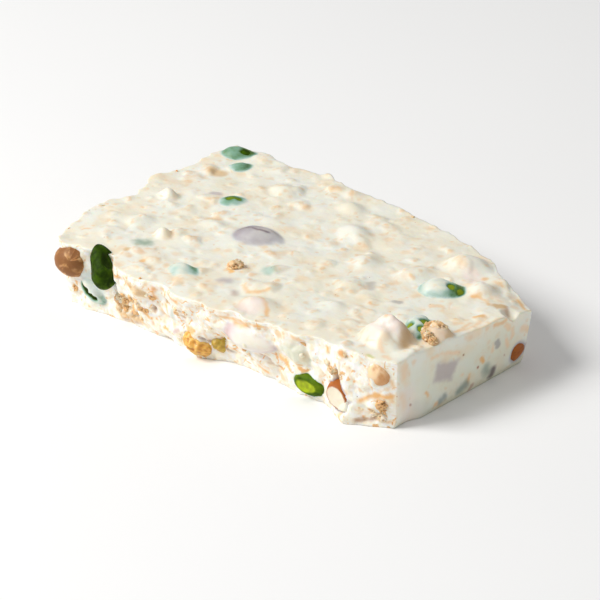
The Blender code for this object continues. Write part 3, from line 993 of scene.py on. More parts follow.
@dataclass
class KernelShape:
    """Makes one kernel as a fine mesh on the same form as its solid."""

    kernel: Kernel
    segments: int = 56
    rings: int = 40
    knee: float = 0.35

    def form(self, t: np.ndarray, side: np.ndarray) -> tuple[np.ndarray, np.ndarray]:
        """The radius share and the sideways bend of the kernel.

        Args:
            t: How far along the kernel each place is, from -1 to 1.
            side: The angle of each place round the kernel.

        Returns:
            The radius as a share of the half width, and the bend in half widths.
        """
        kind = self.kernel.kind
        flat = np.zeros_like(t)
        if kind is Kind.PISTACHIO:
            furrow = 1.0 - 0.10 * np.clip(np.cos(side), 0.0, None) ** 6
            return np.sqrt(1.0 - t * t) * (1.0 - 0.16 * t) * furrow, 0.10 * t * t
        if kind is Kind.HAZELNUT:
            tip = 1.0 - 0.28 * np.clip(t, 0.0, None) ** 3
            return np.sqrt(1.0 - np.abs(t) ** 2.3) * tip * (1.0 + 0.02 * np.cos(3.0 * side)), flat
        if kind is Kind.SULTANA:
            wrinkle = 0.13 * ring_noise(t, side, 3.2, 1.9, 0.0)
            lobes = 0.06 * np.cos(4.0 * side + 2.0 * t)
            return np.sqrt(1.0 - t * t) * (1.0 + wrinkle + lobes), 0.05 * t
        return (1.0 - t * t) ** 0.58 * (1.0 - 0.32 * t), flat

    def relief(self, t: np.ndarray, side: np.ndarray) -> np.ndarray:
        """How far the skin's ridges stand out, from -1 to 1."""
        kind = self.kernel.kind
        if kind is Kind.PISTACHIO:
            own = self.kernel.middle[0]
            return 0.75 * ring_noise(t, side, 1.5, 1.5, own) + 0.25 * ring_noise(t, side, 3.0, 6.0, 9.0)
        if kind is Kind.HAZELNUT:
            return 0.7 * ring_noise(t, side, 1.0, 6.0, 3.0) + 0.5 * ring_noise(t, side, 2.6, 3.0, 9.0)
        if kind is Kind.SULTANA:
            folds = 1.0 - 2.4 * np.abs(ring_noise(t, side, 3.4, 3.0, 5.0))
            creases = 1.0 - 2.4 * np.abs(ring_noise(t, side, 7.0, 6.0, 2.0))
            return np.clip(0.65 * folds + 0.35 * creases, -1, 1)
        return 0.6 * ring_noise(t, side, 0.9, 7.0, 3.0) + 0.4 * ring_noise(t, side, 3.0, 14.0, 9.0)

    def relief_share(self) -> float:
        """How deep the ridges are, as a share of the half width."""
        shares = {Kind.PISTACHIO: 0.12, Kind.HAZELNUT: 0.032, Kind.SULTANA: 0.11}
        return shares.get(self.kernel.kind, 0.035)

    def turn(self) -> np.ndarray:
        """The kernel's rotation."""
        return np.array(Euler([math.radians(angle) for angle in self.kernel.turn]).to_matrix())

    def build(self) -> Piece:
        """Shape the kernel, in metres of the plan, with the values that its finish reads."""
        kernel = self.kernel
        deselect_all()
        bpy.ops.mesh.primitive_uv_sphere_add(segments=self.segments, ring_count=self.rings, radius=1.0)
        made = bpy.context.object
        call(made, f"{kernel.name}_kernel")
        ball = read_places(made)
        t = np.clip(ball[:, 2], -1.0, 1.0)
        side = np.arctan2(ball[:, 1], ball[:, 0])
        radius, bend = self.form(t, side)
        ridge = self.relief(t, side)
        radius = radius * (1.0 + self.relief_share() * ridge)
        length, width, height = np.array(kernel.size) / 2.0
        across = (radius * np.cos(side) + bend) * width
        local = columns(t * length, across, radius * np.sin(side) * height)
        placed = local @ self.turn().T + kernel.middle
        for direction, reach, depth in kernel.dents:
            dent = depth * self.towards(placed, direction, reach)
            placed = placed - dent[:, None] * np.array(direction)
        placed, cut = self.cut(placed)
        write_places(made, placed * MM)
        write_values(made, "ridge", ridge * 0.5 + 0.5)
        write_values(made, "cut", cut)
        write_values(made, "tone", np.full(len(placed), kernel.tone))
        write_values(made, "smear", self.spread(placed, kernel.smears))
        write_values(made, "skin_and_shade", self.spread(placed, kernel.skin_and_shade))
        finish_mesh(made)
        return made

    def cut(self, placed: np.ndarray) -> tuple[np.ndarray, np.ndarray]:
        """Flatten what lies past the break to a slightly rough face.

        Args:
            placed: The kernel's vertices in the plan.

        Returns:
            The vertices with the break made, and how far each belongs to it, from 0 to 1.
        """
        if not self.kernel.broken:
            return placed, np.zeros(len(placed))
        side, reach = self.kernel.broken
        past = (placed - self.kernel.middle) @ side.outward - reach
        rough = 0.16 * noise_at(placed, 1.3) + 0.06 * noise_at(placed, 0.5)
        dished = 0.3 * smoothstep(0.0, 1.2, past)
        moved = np.clip(past + dished - rough, 0.0, None)[:, None] * np.array(side.outward)
        return placed - moved, smoothstep(0.0, self.knee, past)

    def towards(self, placed: np.ndarray, direction: Place, reach: float) -> np.ndarray:
        """How far each place lies in a direction from the middle, fading from 1 to 0 at the reach."""
        away = placed - self.kernel.middle
        unit = np.array(direction) / np.linalg.norm(direction)
        lined_up = away @ unit / np.linalg.norm(away, axis=1)
        return smoothstep(1.0 - reach, 1.0 - reach * 0.3, lined_up)

    def spread(self, placed: np.ndarray, spots: Sequence[tuple[Place, float]]) -> np.ndarray:
        """How far each place lies in any of these directions from the middle, from 0 to 1."""
        shares = [self.towards(placed, direction, reach) for direction, reach in spots]
        return np.max([np.zeros(len(placed)), *shares], axis=0)


# The bar


@dataclass(frozen=True)
class Break:
    """A broken side: rows of (distance along, position at the top, position at the base)."""

    rows: tuple[Place, ...]
    outward: float
    seed: float

    def edge(self, along: np.ndarray, rise: np.ndarray, calm: np.ndarray | float = 1.0) -> np.ndarray:
        """Where the solid's break lies, with its large crags.

        Args:
            along: Places along the break.
            rise: Their height as a share of the thickness.
            calm: How much of the crags is kept.

        Returns:
            The position across the break.
        """
        where, top, base = np.array(self.rows).T
        straight = np.interp(along, where, base) * (1.0 - rise) + np.interp(along, where, top) * rise
        places = columns(along, self.seed, rise * THICKNESS)
        crags = 1.4 * noise_at(places, 7.0) + 0.7 * noise_at(places, 3.2)
        return straight + self.outward * calm * crags


@dataclass(frozen=True)
class Lump:
    """A mound on a side over something sunk in it, in millimetres and degrees."""

    middle: Flat
    radii: Flat
    height: float
    turn: float = 0.0
    sharp: float = 1.5

    def rise(self, flat: np.ndarray) -> np.ndarray:
        """The height that the lump adds at each place of its side."""
        turn = math.radians(self.turn)
        step = flat - self.middle
        across = (step @ (math.cos(turn), math.sin(turn))) / self.radii[0]
        along = (step @ (-math.sin(turn), math.cos(turn))) / self.radii[1]
        return self.height * np.clip(1.0 - across**2 - along**2, 0.0, None) ** (1.5 * self.sharp)


THICKNESS = 20.0
FRONT_GUESS = -8.0
BACK_GUESS = 74.0
WALL_TOP = ((-3, 0.0), (0, 0.0), (41, 3.9), (53, 4.6))
WALL_BASE = ((-3, 0.0), (0, 0.0), (6, 1.6), (53, 1.8))

FRONT_BREAK = Break(
    (
        (-130, -3.5, -1.5),
        (-121, -7.0, -4.0),
        (-113, -6.5, -5.0),
        (-108, -4.5, -4.0),
        (-103, -3.8, -3.0),
        (-98, -8.4, -3.2),
        (-91, -10.0, -3.4),
        (-79, -9.0, -2.9),
        (-68, -9.4, -6.0),
        (-58, -9.0, -1.4),
        (-40, -6.6, -1.8),
        (-24, -4.6, -2.0),
        (-13, -3.8, -7.8),
        (-6, -2.6, -4.0),
        (0, 0.0, -0.4),
        (6, 0.0, 0.0),
    ),
    outward=-1.0,
    seed=30.0,
)
BACK_BREAK = Break(
    (
        (-130, 73.5, 70.0),
        (-118, 76.5, 71.5),
        (-104, 74.5, 72.0),
        (-92, 76.5, 70.0),
        (-78, 73.5, 71.0),
        (-62, 74.0, 67.0),
        (-41, 71.0, 67.0),
        (-33, 67.5, 61.5),
        (-21, 65.0, 60.0),
        (-10, 57.5, 56.0),
        (-1, 54.5, 53.0),
        (5, 52.0, 50.5),
    ),
    outward=1.0,
    seed=60.0,
)
LEFT_BREAK = Break(
    (
        (-12, -121.0, -118.0),
        (2, -127.0, -121.5),
        (14, -129.5, -124.0),
        (28, -126.0, -123.0),
        (42, -130.5, -124.5),
        (56, -127.0, -124.0),
        (66, -129.5, -122.0),
        (78, -124.0, -120.0),
    ),
    outward=-1.0,
    seed=90.0,
)

BREAK_ON = {Side.FRONT: FRONT_BREAK, Side.BACK: BACK_BREAK, Side.LEFT: LEFT_BREAK}

TOP_LUMPS = (
    Lump((-12.0, 8.8), (8.8, 7.4), 4.2, turn=-35, sharp=0.75),
    Lump((-12.4, 9.4), (3.4, 2.8), 2.3, turn=20, sharp=0.9),
    Lump((-7.6, 10.2), (4.4, 4.0), 2.2, sharp=0.7),
    Lump((-16.0, 6.8), (3.6, 3.0), 0.9, sharp=0.8),
    Lump((-10.4, 5.0), (3.6, 3.0), 0.9, sharp=0.8),
    Lump((-1.8, 18.6), (4.4, 4.0), 2.6, turn=30, sharp=0.55),
    Lump((-51.0, 0.0), (8.5, 6.0), 2.0, turn=10),
    Lump((-57.5, 8.0), (7.0, 5.5), 1.6, turn=40),
    Lump((-35.0, 13.5), (5.0, 4.0), 1.2),
    Lump((-100.5, 14.5), (3.2, 2.6), 2.6, sharp=1.0),
    Lump((-117.5, 35.0), (4.2, 3.4), 2.8),
    Lump((-23.0, 57.0), (9.0, 7.0), 3.6, turn=30),
    Lump((4.0, 43.6), (3.4, 3.4), -2.4, sharp=1.0),
    Lump((-10.5, 48.0), (6.5, 5.5), 2.0),
    Lump((-31.0, 44.0), (8.0, 5.5), 1.6, turn=60),
    Lump((-46.0, 40.0), (6.0, 7.0), 1.8),
    Lump((-60.0, 52.0), (8.0, 6.0), 2.0, turn=-20),
    Lump((-94.0, 60.0), (7.0, 6.0), 1.8),
    Lump((-72.0, 64.0), (6.0, 5.0), 1.4),
    Lump((-95.0, 30.0), (6.0, 5.0), 1.0),
    Lump((-112.0, 18.0), (5.0, 6.0), 1.2),
    Lump((-40.0, 27.0), (6.0, 5.0), 1.0),
    Lump((7.0, 55.0), (19.0, 15.0), -3.4, sharp=1.3),
)
FRONT_LUMPS = (
    Lump((-34.0, 13.6), (6.5, 4.6), 1.5, turn=-10),
    Lump((-77.6, 10.8), (2.0, 5.0), 1.0, turn=12),
    Lump((-88.0, 14.0), (3.6, 3.0), 1.1),
    Lump((-17.8, 10.8), (1.5, 4.6), -2.4, turn=4),
    Lump((-84.5, 10.0), (1.6, 1.5), -1.3),
    Lump((-60.4, 8.0), (1.0, 4.0), -1.6, turn=30),
    Lump((-65.2, 6.0), (1.0, 3.4), -1.4, turn=20),
    Lump((-44.4, 7.6), (2.4, 1.2), -1.2, turn=-20),
    Lump((-5.2, 5.6), (3.6, 2.4), 0.9),
    Lump((-6.3, 4.8), (1.0, 0.9), -1.2),
    Lump((-3.0, 6.4), (1.0, 0.9), -1.2),
    Lump((-21.0, 15.6), (4.0, 3.4), 1.0),
    Lump((-96.8, 7.2), (5.4, 4.4), -0.9),
)


@dataclass(frozen=True)
class StainAndShade:
    """A patch or line of colour on a side, in millimetres of that side. Most are the bar's own marks; a few
    rows are painted shade.

    The top is read in x and y, the front in x and z, and the wall in y and z. half_width is the
    patch's radius or the line's half width.
    """

    path: tuple[Flat, ...]
    half_width: float
    colour: Colour
    share: float = 0.8
    soft: float = 0.6
    ragged: float = 0.45
    filled: bool = False

    def mask(self, flat: np.ndarray, seed: float) -> np.ndarray:
        """How far the stain covers each place of its side, from 0 to 1."""
        distance = distance_to_path(flat, self.path)
        if self.filled:
            outline = (*self.path, self.path[0])
            distance = distance_to_path(flat, outline)
            distance = np.where(inside_outline(flat, self.path), -distance, distance)
        places = columns(*flat.T, seed)
        distance = distance + self.ragged * (noise_at(places, 1.6) + 0.5 * noise_at(places, 0.7))
        edge = self.half_width
        return self.share * (1.0 - smoothstep(edge - self.soft, edge + self.soft, distance))


TEAL = paint(176, 203, 190)
DEEP_TEAL = paint(130, 160, 138)
MAUVE = paint(190, 178, 178)
SLATE = paint(176, 172, 168)
PINK = paint(245, 229, 219)
ROSE = paint(214, 184, 178)
PEACH = paint(245, 216, 180)
ORANGE = paint(241, 188, 116)
AMBER = paint(228, 156, 58)
BROWN = paint(168, 112, 58)
DARK = paint(118, 66, 34)
RUST = paint(168, 92, 56)
PALE_BLUE = paint(226, 234, 228)
PALE_GREEN = paint(228, 230, 210)
TAN = paint(222, 188, 138)
LIME = paint(206, 206, 120)
PLUM = paint(120, 96, 104)

MAUVE_OUTLINE = ((14.4, 14.9), (23.4, 13.0), (20.4, 7.0), (12.8, 9.2))

TOP_STAINS_AND_SHADE = (
    StainAndShade(((-53.9, -5.0), (-55.8, -0.9), (-55.0, 2.5), (-50.6, 1.6)), 0.45, PEACH, 0.9),
    StainAndShade(((-50.6, 1.6), (-47.0, -0.6), (-44.9, -2.9)), 0.6, ORANGE),
    StainAndShade(((-51.0, -2.6),), 4.0, PINK, soft=1.6),
    StainAndShade(((-86.0, 31.0), (-83.0, 32.6), (-80.0, 32.2), (-76.6, 34.0)), 0.35, PLUM, soft=0.4),
    StainAndShade(((-60.3, 1.2), (-61.5, 2.0)), 1.0, MAUVE, 0.55, soft=1.3),
    StainAndShade(((-68.4, 4.6), (-67.0, 5.4)), 1.5, MAUVE, soft=1.6, ragged=0.7),
    StainAndShade(((-102.3, 7.1), (-100.6, 8.0)), 1.7, DEEP_TEAL, soft=1.9, ragged=0.8),
    StainAndShade(((-102.0, 1.3),), 1.1, TAN, 0.9, soft=0.8),
    StainAndShade(((-97.7, 2.3),), 1.2, PEACH, 0.9, soft=0.8),
    StainAndShade(((-93.8, -0.9),), 0.9, ORANGE, soft=0.5),
    StainAndShade(((-87.3, -3.6), (-88.4, -2.8)), 0.7, PEACH, 0.9),
    StainAndShade(((-86.5, 0.7), (-87.0, 2.0)), 0.8, PEACH),
    StainAndShade(((-78.6, -3.9), (-76.2, -4.3)), 1.2, PEACH, soft=0.8),
    StainAndShade(((-63.3, 18.6), (-62.4, 17.6)), 1.9, TEAL, 0.85, soft=1.4),
    StainAndShade(((-109.2, 44.8), (-107.0, 45.6)), 1.0, MAUVE),
    StainAndShade(((-118.4, 56.2), (-116.8, 57.4)), 1.8, TAN, soft=1.0),
    StainAndShade(((-96.3, 32.9), (-98.6, 32.0)), 1.5, ORANGE, 0.6, soft=1.1),
    StainAndShade(((-70.6, 11.0), (-73.0, 13.2)), 0.7, ORANGE, 0.9, ragged=0.8),
    StainAndShade(((-72.4, 10.2), (-71.0, 15.6)), 0.5, ORANGE, 0.7, ragged=0.8),
    StainAndShade(((-62.0, 6.0), (-58.0, 4.0), (-55.5, 5.4), (-54.0, 8.0)), 0.5, ORANGE, 0.7),
    StainAndShade(((-13.0, 7.6), (-14.0, 12.0), (-10.0, 10.0)), 4.0, PINK, 0.9, soft=2.2),
    StainAndShade(((-12.0, 9.2),), 0.6, ORANGE),
    # Painted shade on the right flank of the peak, over the tan of the crisp in it.
    StainAndShade(((-8.0, 13.0), (-5.6, 10.6), (-4.4, 7.6)), 1.6, paint(204, 168, 118), 0.85, soft=1.2),
    StainAndShade(((-4.7, 0.6), (-3.0, -0.2)), 0.6, PEACH, 0.9),
    StainAndShade(((-9.4, 3.0), (-7.0, 1.6)), 0.6, PEACH),
    StainAndShade(((-1.6, 18.6),), 3.4, paint(234, 208, 180), 0.85, soft=1.2),
    StainAndShade(((-4.4, 22.8), (-5.6, 20.0), (-4.6, 16.6), (-2.1, 14.9), (0.4, 14.6)), 1.0, TAN, 0.9),
    StainAndShade(((-1.4, 22.6), (1.0, 21.4), (1.8, 18.6)), 0.8, TAN, 0.7),
    StainAndShade(((-0.2, 22.4), (1.2, 26.0), (1.6, 30.0), (1.0, 33.4)), 0.5, PEACH, 0.95),
    StainAndShade(((0.4, 24.0), (0.0, 28.0), (-0.6, 31.0)), 0.45, ORANGE, 0.6),
    StainAndShade(((-1.9, 34.4), (-0.4, 36.6)), 0.7, ORANGE),
    StainAndShade(((-9.6, 43.4), (-8.1, 44.4), (-5.4, 44.0), (-3.3, 42.4)), 0.5, ORANGE, 0.75),
    StainAndShade(((-0.7, 44.9), (-1.6, 43.6)), 1.5, TAN, 0.95, soft=0.8),
    StainAndShade(((-0.2, 46.0), (2.2, 44.0)), 0.6, BROWN, 0.5),
    StainAndShade(((4.4, 41.8), (5.6, 44.0), (6.6, 46.2)), 0.45, ORANGE, 0.85),
    StainAndShade(((-1.6, 53.3), (1.0, 51.8), (3.3, 50.4)), 0.5, ORANGE, 0.85),
    StainAndShade(((-11.0, 31.3),), 0.9, PEACH, 0.9),
    StainAndShade(((-2.6, 29.1), (-3.4, 28.0)), 0.9, PEACH),
    StainAndShade(((-13.2, 33.6), (-15.0, 32.0)), 1.0, PEACH, 0.9),
    StainAndShade(((-15.8, 51.5), (-18.0, 53.0)), 2.6, PINK, soft=1.6),
    StainAndShade(((-14.1, 54.2),), 1.0, ORANGE, 0.7),
    StainAndShade(((-22.8, 27.3), (-24.2, 27.0)), 0.9, SLATE, 0.7),
    StainAndShade(((-34.7, 29.1), (-36.5, 31.0)), 1.3, SLATE, 0.6, soft=1.0),
    StainAndShade(((-9.0, -2.2), (-7.4, -2.4)), 0.6, LIME),
    StainAndShade(((3.6, 20.0), (4.0, 34.0), (4.4, 38.5)), 0.5, PEACH, 0.75, soft=0.7),
)
FRONT_STAINS_AND_SHADE = (
    StainAndShade(((-59.5, 17.0), (-56.5, 17.6), (-52.0, 17.9), (-47.0, 18.3), (-42.0, 18.6)), 0.36, ORANGE, 0.9),
    StainAndShade(((-52.8, 17.0), (-50.4, 16.9), (-48.4, 17.6)), 0.5, ORANGE),
    StainAndShade(((-112.3, 10.8), (-110.4, 11.8), (-109.0, 9.0), (-106.5, 7.6)), 1.5, PALE_BLUE, 0.85, soft=0.8),
    StainAndShade(((-90.9, 16.0), (-86.4, 15.2)), 1.5, TAN, 0.85, soft=0.9),
    StainAndShade(((-82.9, 14.4), (-82.5, 17.8)), 0.5, AMBER, 0.75),
    StainAndShade(((-93.4, 17.6), (-92.2, 16.0)), 0.5, ORANGE, 0.9),
    StainAndShade(((-101.0, 16.6), (-98.3, 16.2), (-96.4, 16.4)), 0.45, ORANGE, 0.85),
    StainAndShade(((-80.0, 18.2), (-78.2, 17.8)), 0.5, ORANGE),
    StainAndShade(((-76.4, 18.6), (-74.2, 18.0), (-72.4, 17.8)), 0.45, AMBER, 0.75),
    StainAndShade(((-97.0, 7.4), (-99.4, 7.0)), 2.6, TAN, 0.7, soft=1.0, ragged=0.8),
    StainAndShade(((-90.6, 11.0), (-89.8, 9.0)), 1.0, ORANGE, 0.9),
    StainAndShade(((-88.6, 7.8), (-87.2, 6.4)), 0.7, ORANGE, 0.85),
    StainAndShade(((-84.6, 10.9), (-84.4, 9.4)), 0.5, BROWN, 0.7),
    StainAndShade(((-81.6, 11.0), (-80.9, 8.6), (-81.4, 6.6)), 0.6, PEACH, 0.9),
    StainAndShade(((-79.8, 13.2), (-78.4, 10.4), (-76.8, 7.8)), 0.4, ORANGE, 0.85),
    StainAndShade(((-77.4, 12.8), (-77.0, 9.0)), 1.2, PALE_BLUE, 0.75),
    StainAndShade(((-79.2, 14.4), (-78.0, 14.4)), 0.45, paint(170, 130, 60)),
    StainAndShade(((-73.6, 14.4), (-72.4, 14.2)), 0.45, BROWN, 0.7),
    StainAndShade(((-72.6, 12.9), (-71.8, 12.2)), 0.45, BROWN, 0.6),
    StainAndShade(((-81.6, 4.6), (-80.4, 4.6)), 0.45, paint(216, 180, 70), 0.9),
    StainAndShade(((-76.9, 5.3), (-75.4, 6.4)), 0.6, ROSE),
    StainAndShade(((-72.8, 5.4), (-72.2, 6.6)), 0.45, DARK, 0.7),
    StainAndShade(((-70.6, 8.4), (-68.8, 9.2)), 1.2, ORANGE, 0.85),
    StainAndShade(((-66.4, 7.4), (-64.2, 6.6), (-60.6, 5.8), (-58.2, 4.4)), 0.35, DARK, 0.75),
    StainAndShade(((-34.5, 13.4), (-31.4, 13.0)), 3.2, PALE_GREEN, soft=1.0),
    StainAndShade(((-30.8, 12.0), (-29.0, 14.0)), 1.0, TAN, 0.35),
    StainAndShade(((-45.2, 8.6), (-43.6, 7.6)), 0.55, RUST, 0.95),
    StainAndShade(((-38.8, 9.8), (-37.0, 8.8), (-36.0, 7.0)), 0.8, ORANGE, 0.85),
    StainAndShade(((-40.6, 3.6), (-39.6, 2.8)), 1.3, PEACH, 0.95),
    StainAndShade(((-48.4, 3.4), (-46.6, 2.6), (-45.0, 2.0)), 0.5, ORANGE, 0.95),
    StainAndShade(((-44.2, 5.8), (-42.4, 5.8), (-40.6, 6.0)), 0.45, BROWN, 0.55),
    StainAndShade(((-38.6, 18.0), (-36.6, 18.0)), 0.8, TAN, 0.7),
    StainAndShade(((-32.4, 19.0), (-30.8, 18.6)), 0.6, ORANGE, 0.6),
    StainAndShade(((-22.0, 18.6), (-21.8, 17.6)), 0.6, ORANGE, 0.9),
    StainAndShade(((-16.8, 19.2), (-15.6, 18.8)), 0.8, AMBER),
    StainAndShade(((-22.0, 14.2), (-20.6, 13.4)), 0.7, ORANGE, 0.9),
    StainAndShade(((-17.6, 13.8), (-18.0, 11.0), (-18.2, 8.6)), 0.5, BROWN, 0.75),
    StainAndShade(((-9.4, 7.0), (-7.2, 8.8), (-5.0, 9.5), (-2.6, 9.2), (-1.2, 9.8)), 0.55, ORANGE, 0.9),
    StainAndShade(((-5.4, 9.0),), 1.0, ORANGE, 0.7),
    StainAndShade(((-6.3, 4.8),), 1.1, TAN, 0.95),
    StainAndShade(((-3.0, 6.5),), 1.0, TAN, 0.95),
    StainAndShade(((-9.6, 1.4), (-7.4, 1.6), (-5.4, 2.6)), 0.5, BROWN, 0.75),
    StainAndShade(((-4.6, 2.4), (-2.4, 1.6), (-0.4, 2.0)), 0.45, PEACH, 0.9),
    StainAndShade(((-14.8, 1.6), (-13.6, 0.6)), 0.6, ORANGE, 0.9),
    StainAndShade(((-1.0, 12.6), (-1.6, 14.2)), 0.4, ORANGE, 0.7),
    StainAndShade(((-1.2, 8.0), (-1.6, 10.4)), 0.35, ORANGE, 0.7),
    # A tan band and a brown line along the foot of the front: painted shade where the side curves under.
    StainAndShade(((-100.2, 2.4), (-96.0, 2.8), (-90.6, 3.2)), 1.0, TAN, 0.85, soft=0.8),
    StainAndShade(((-99.4, 1.0), (-92.0, 1.6)), 0.5, BROWN, 0.5),
)
WALL_STAINS_AND_SHADE = (
    # The first two rows are painted shade: a pale greenish tint over the wall and a darker green band along
    # its foot, so the wall darkens towards its base.
    StainAndShade(((10.0, 10.0), (40.0, 9.0)), 6.0, PALE_GREEN, 0.55, soft=4.0),
    StainAndShade(((0.0, -1.0), (54.0, -1.0)), 2.6, paint(184, 186, 156), 0.75, soft=3.0, ragged=0.8),
    StainAndShade(((5.0, 2.0), (3.0, 8.0)), 3.4, PINK, 0.6, soft=2.6),
    StainAndShade(MAUVE_OUTLINE, -0.3, MAUVE, soft=1.1, ragged=0.4, filled=True),
    StainAndShade(((2.4, 18.0), (2.0, 15.0)), 1.3, PEACH, 0.75, soft=0.9),
    StainAndShade(((1.8, 9.0), (2.6, 6.0)), 1.2, PEACH, 0.5, soft=1.0),
    StainAndShade(((12.6, 16.8), (16.0, 17.0), (22.6, 15.2)), 0.45, PEACH, soft=0.7),
    StainAndShade(((24.6, 13.6),), 0.38, BROWN, 0.9, soft=0.25, ragged=0.1),
    StainAndShade(((32.2, 10.0), (33.2, 8.2)), 0.6, ORANGE, 0.9),
    StainAndShade(((31.0, 7.2),), 0.42, RUST, 0.95, soft=0.25, ragged=0.1),
    StainAndShade(((24.8, 7.4),), 0.5, PEACH, 0.9),
    StainAndShade(((27.8, 6.0), (27.2, 4.0)), 0.5, ORANGE, 0.75),
    StainAndShade(((38.0, 12.4), (38.6, 11.2)), 1.0, SLATE, 0.85, soft=0.5),
    StainAndShade(((42.0, 12.0), (43.0, 9.6)), 0.6, PEACH, 0.9),
    StainAndShade(((43.8, 14.6), (44.6, 12.0)), 0.8, PEACH, 0.85),
    StainAndShade(((36.4, 11.4), (36.6, 10.0)), 0.5, PEACH),
    StainAndShade(((42.3, 6.6),), 0.35, RUST, soft=0.25),
    StainAndShade(((38.0, 3.4), (37.6, 1.8)), 1.2, paint(88, 74, 84), 0.85, soft=0.9),
    StainAndShade(((34.6, 5.4), (35.4, 4.0)), 1.5, paint(140, 160, 148), 0.7, soft=1.4),
    StainAndShade(((24.0, 2.6), (26.4, 3.4)), 1.4, paint(126, 146, 140), 0.75, soft=1.2),
    StainAndShade(((29.4, 1.8), (29.0, 0.6)), 0.7, RUST, 0.5),
    StainAndShade(((16.0, 2.2), (17.6, 3.0)), 1.2, paint(136, 152, 154), 0.7, soft=1.0),
    StainAndShade(((14.2, 2.2),), 0.8, ORANGE, 0.6),
    StainAndShade(((10.2, 7.2), (10.8, 6.4)), 0.5, ORANGE, 0.85),
    StainAndShade(((5.1, 5.2),), 0.4, RUST, 0.85, soft=0.25, ragged=0.1),
    StainAndShade(((49.0, 13.0), (52.0, 11.0)), 1.1, PEACH, soft=0.8),
    StainAndShade(((36.0, 18.8), (40.4, 18.6)), 0.5, ORANGE, 0.7),
    StainAndShade(((41.0, 17.0), (42.4, 15.4)), 0.8, PEACH, 0.9),
    StainAndShade(((7.4, 4.0), (9.4, 2.8)), 2.2, paint(214, 216, 204), 0.5, soft=1.4),
)
STAINS_AND_SHADE = {Side.TOP: TOP_STAINS_AND_SHADE, Side.FRONT: FRONT_STAINS_AND_SHADE, Side.WALL: WALL_STAINS_AND_SHADE}


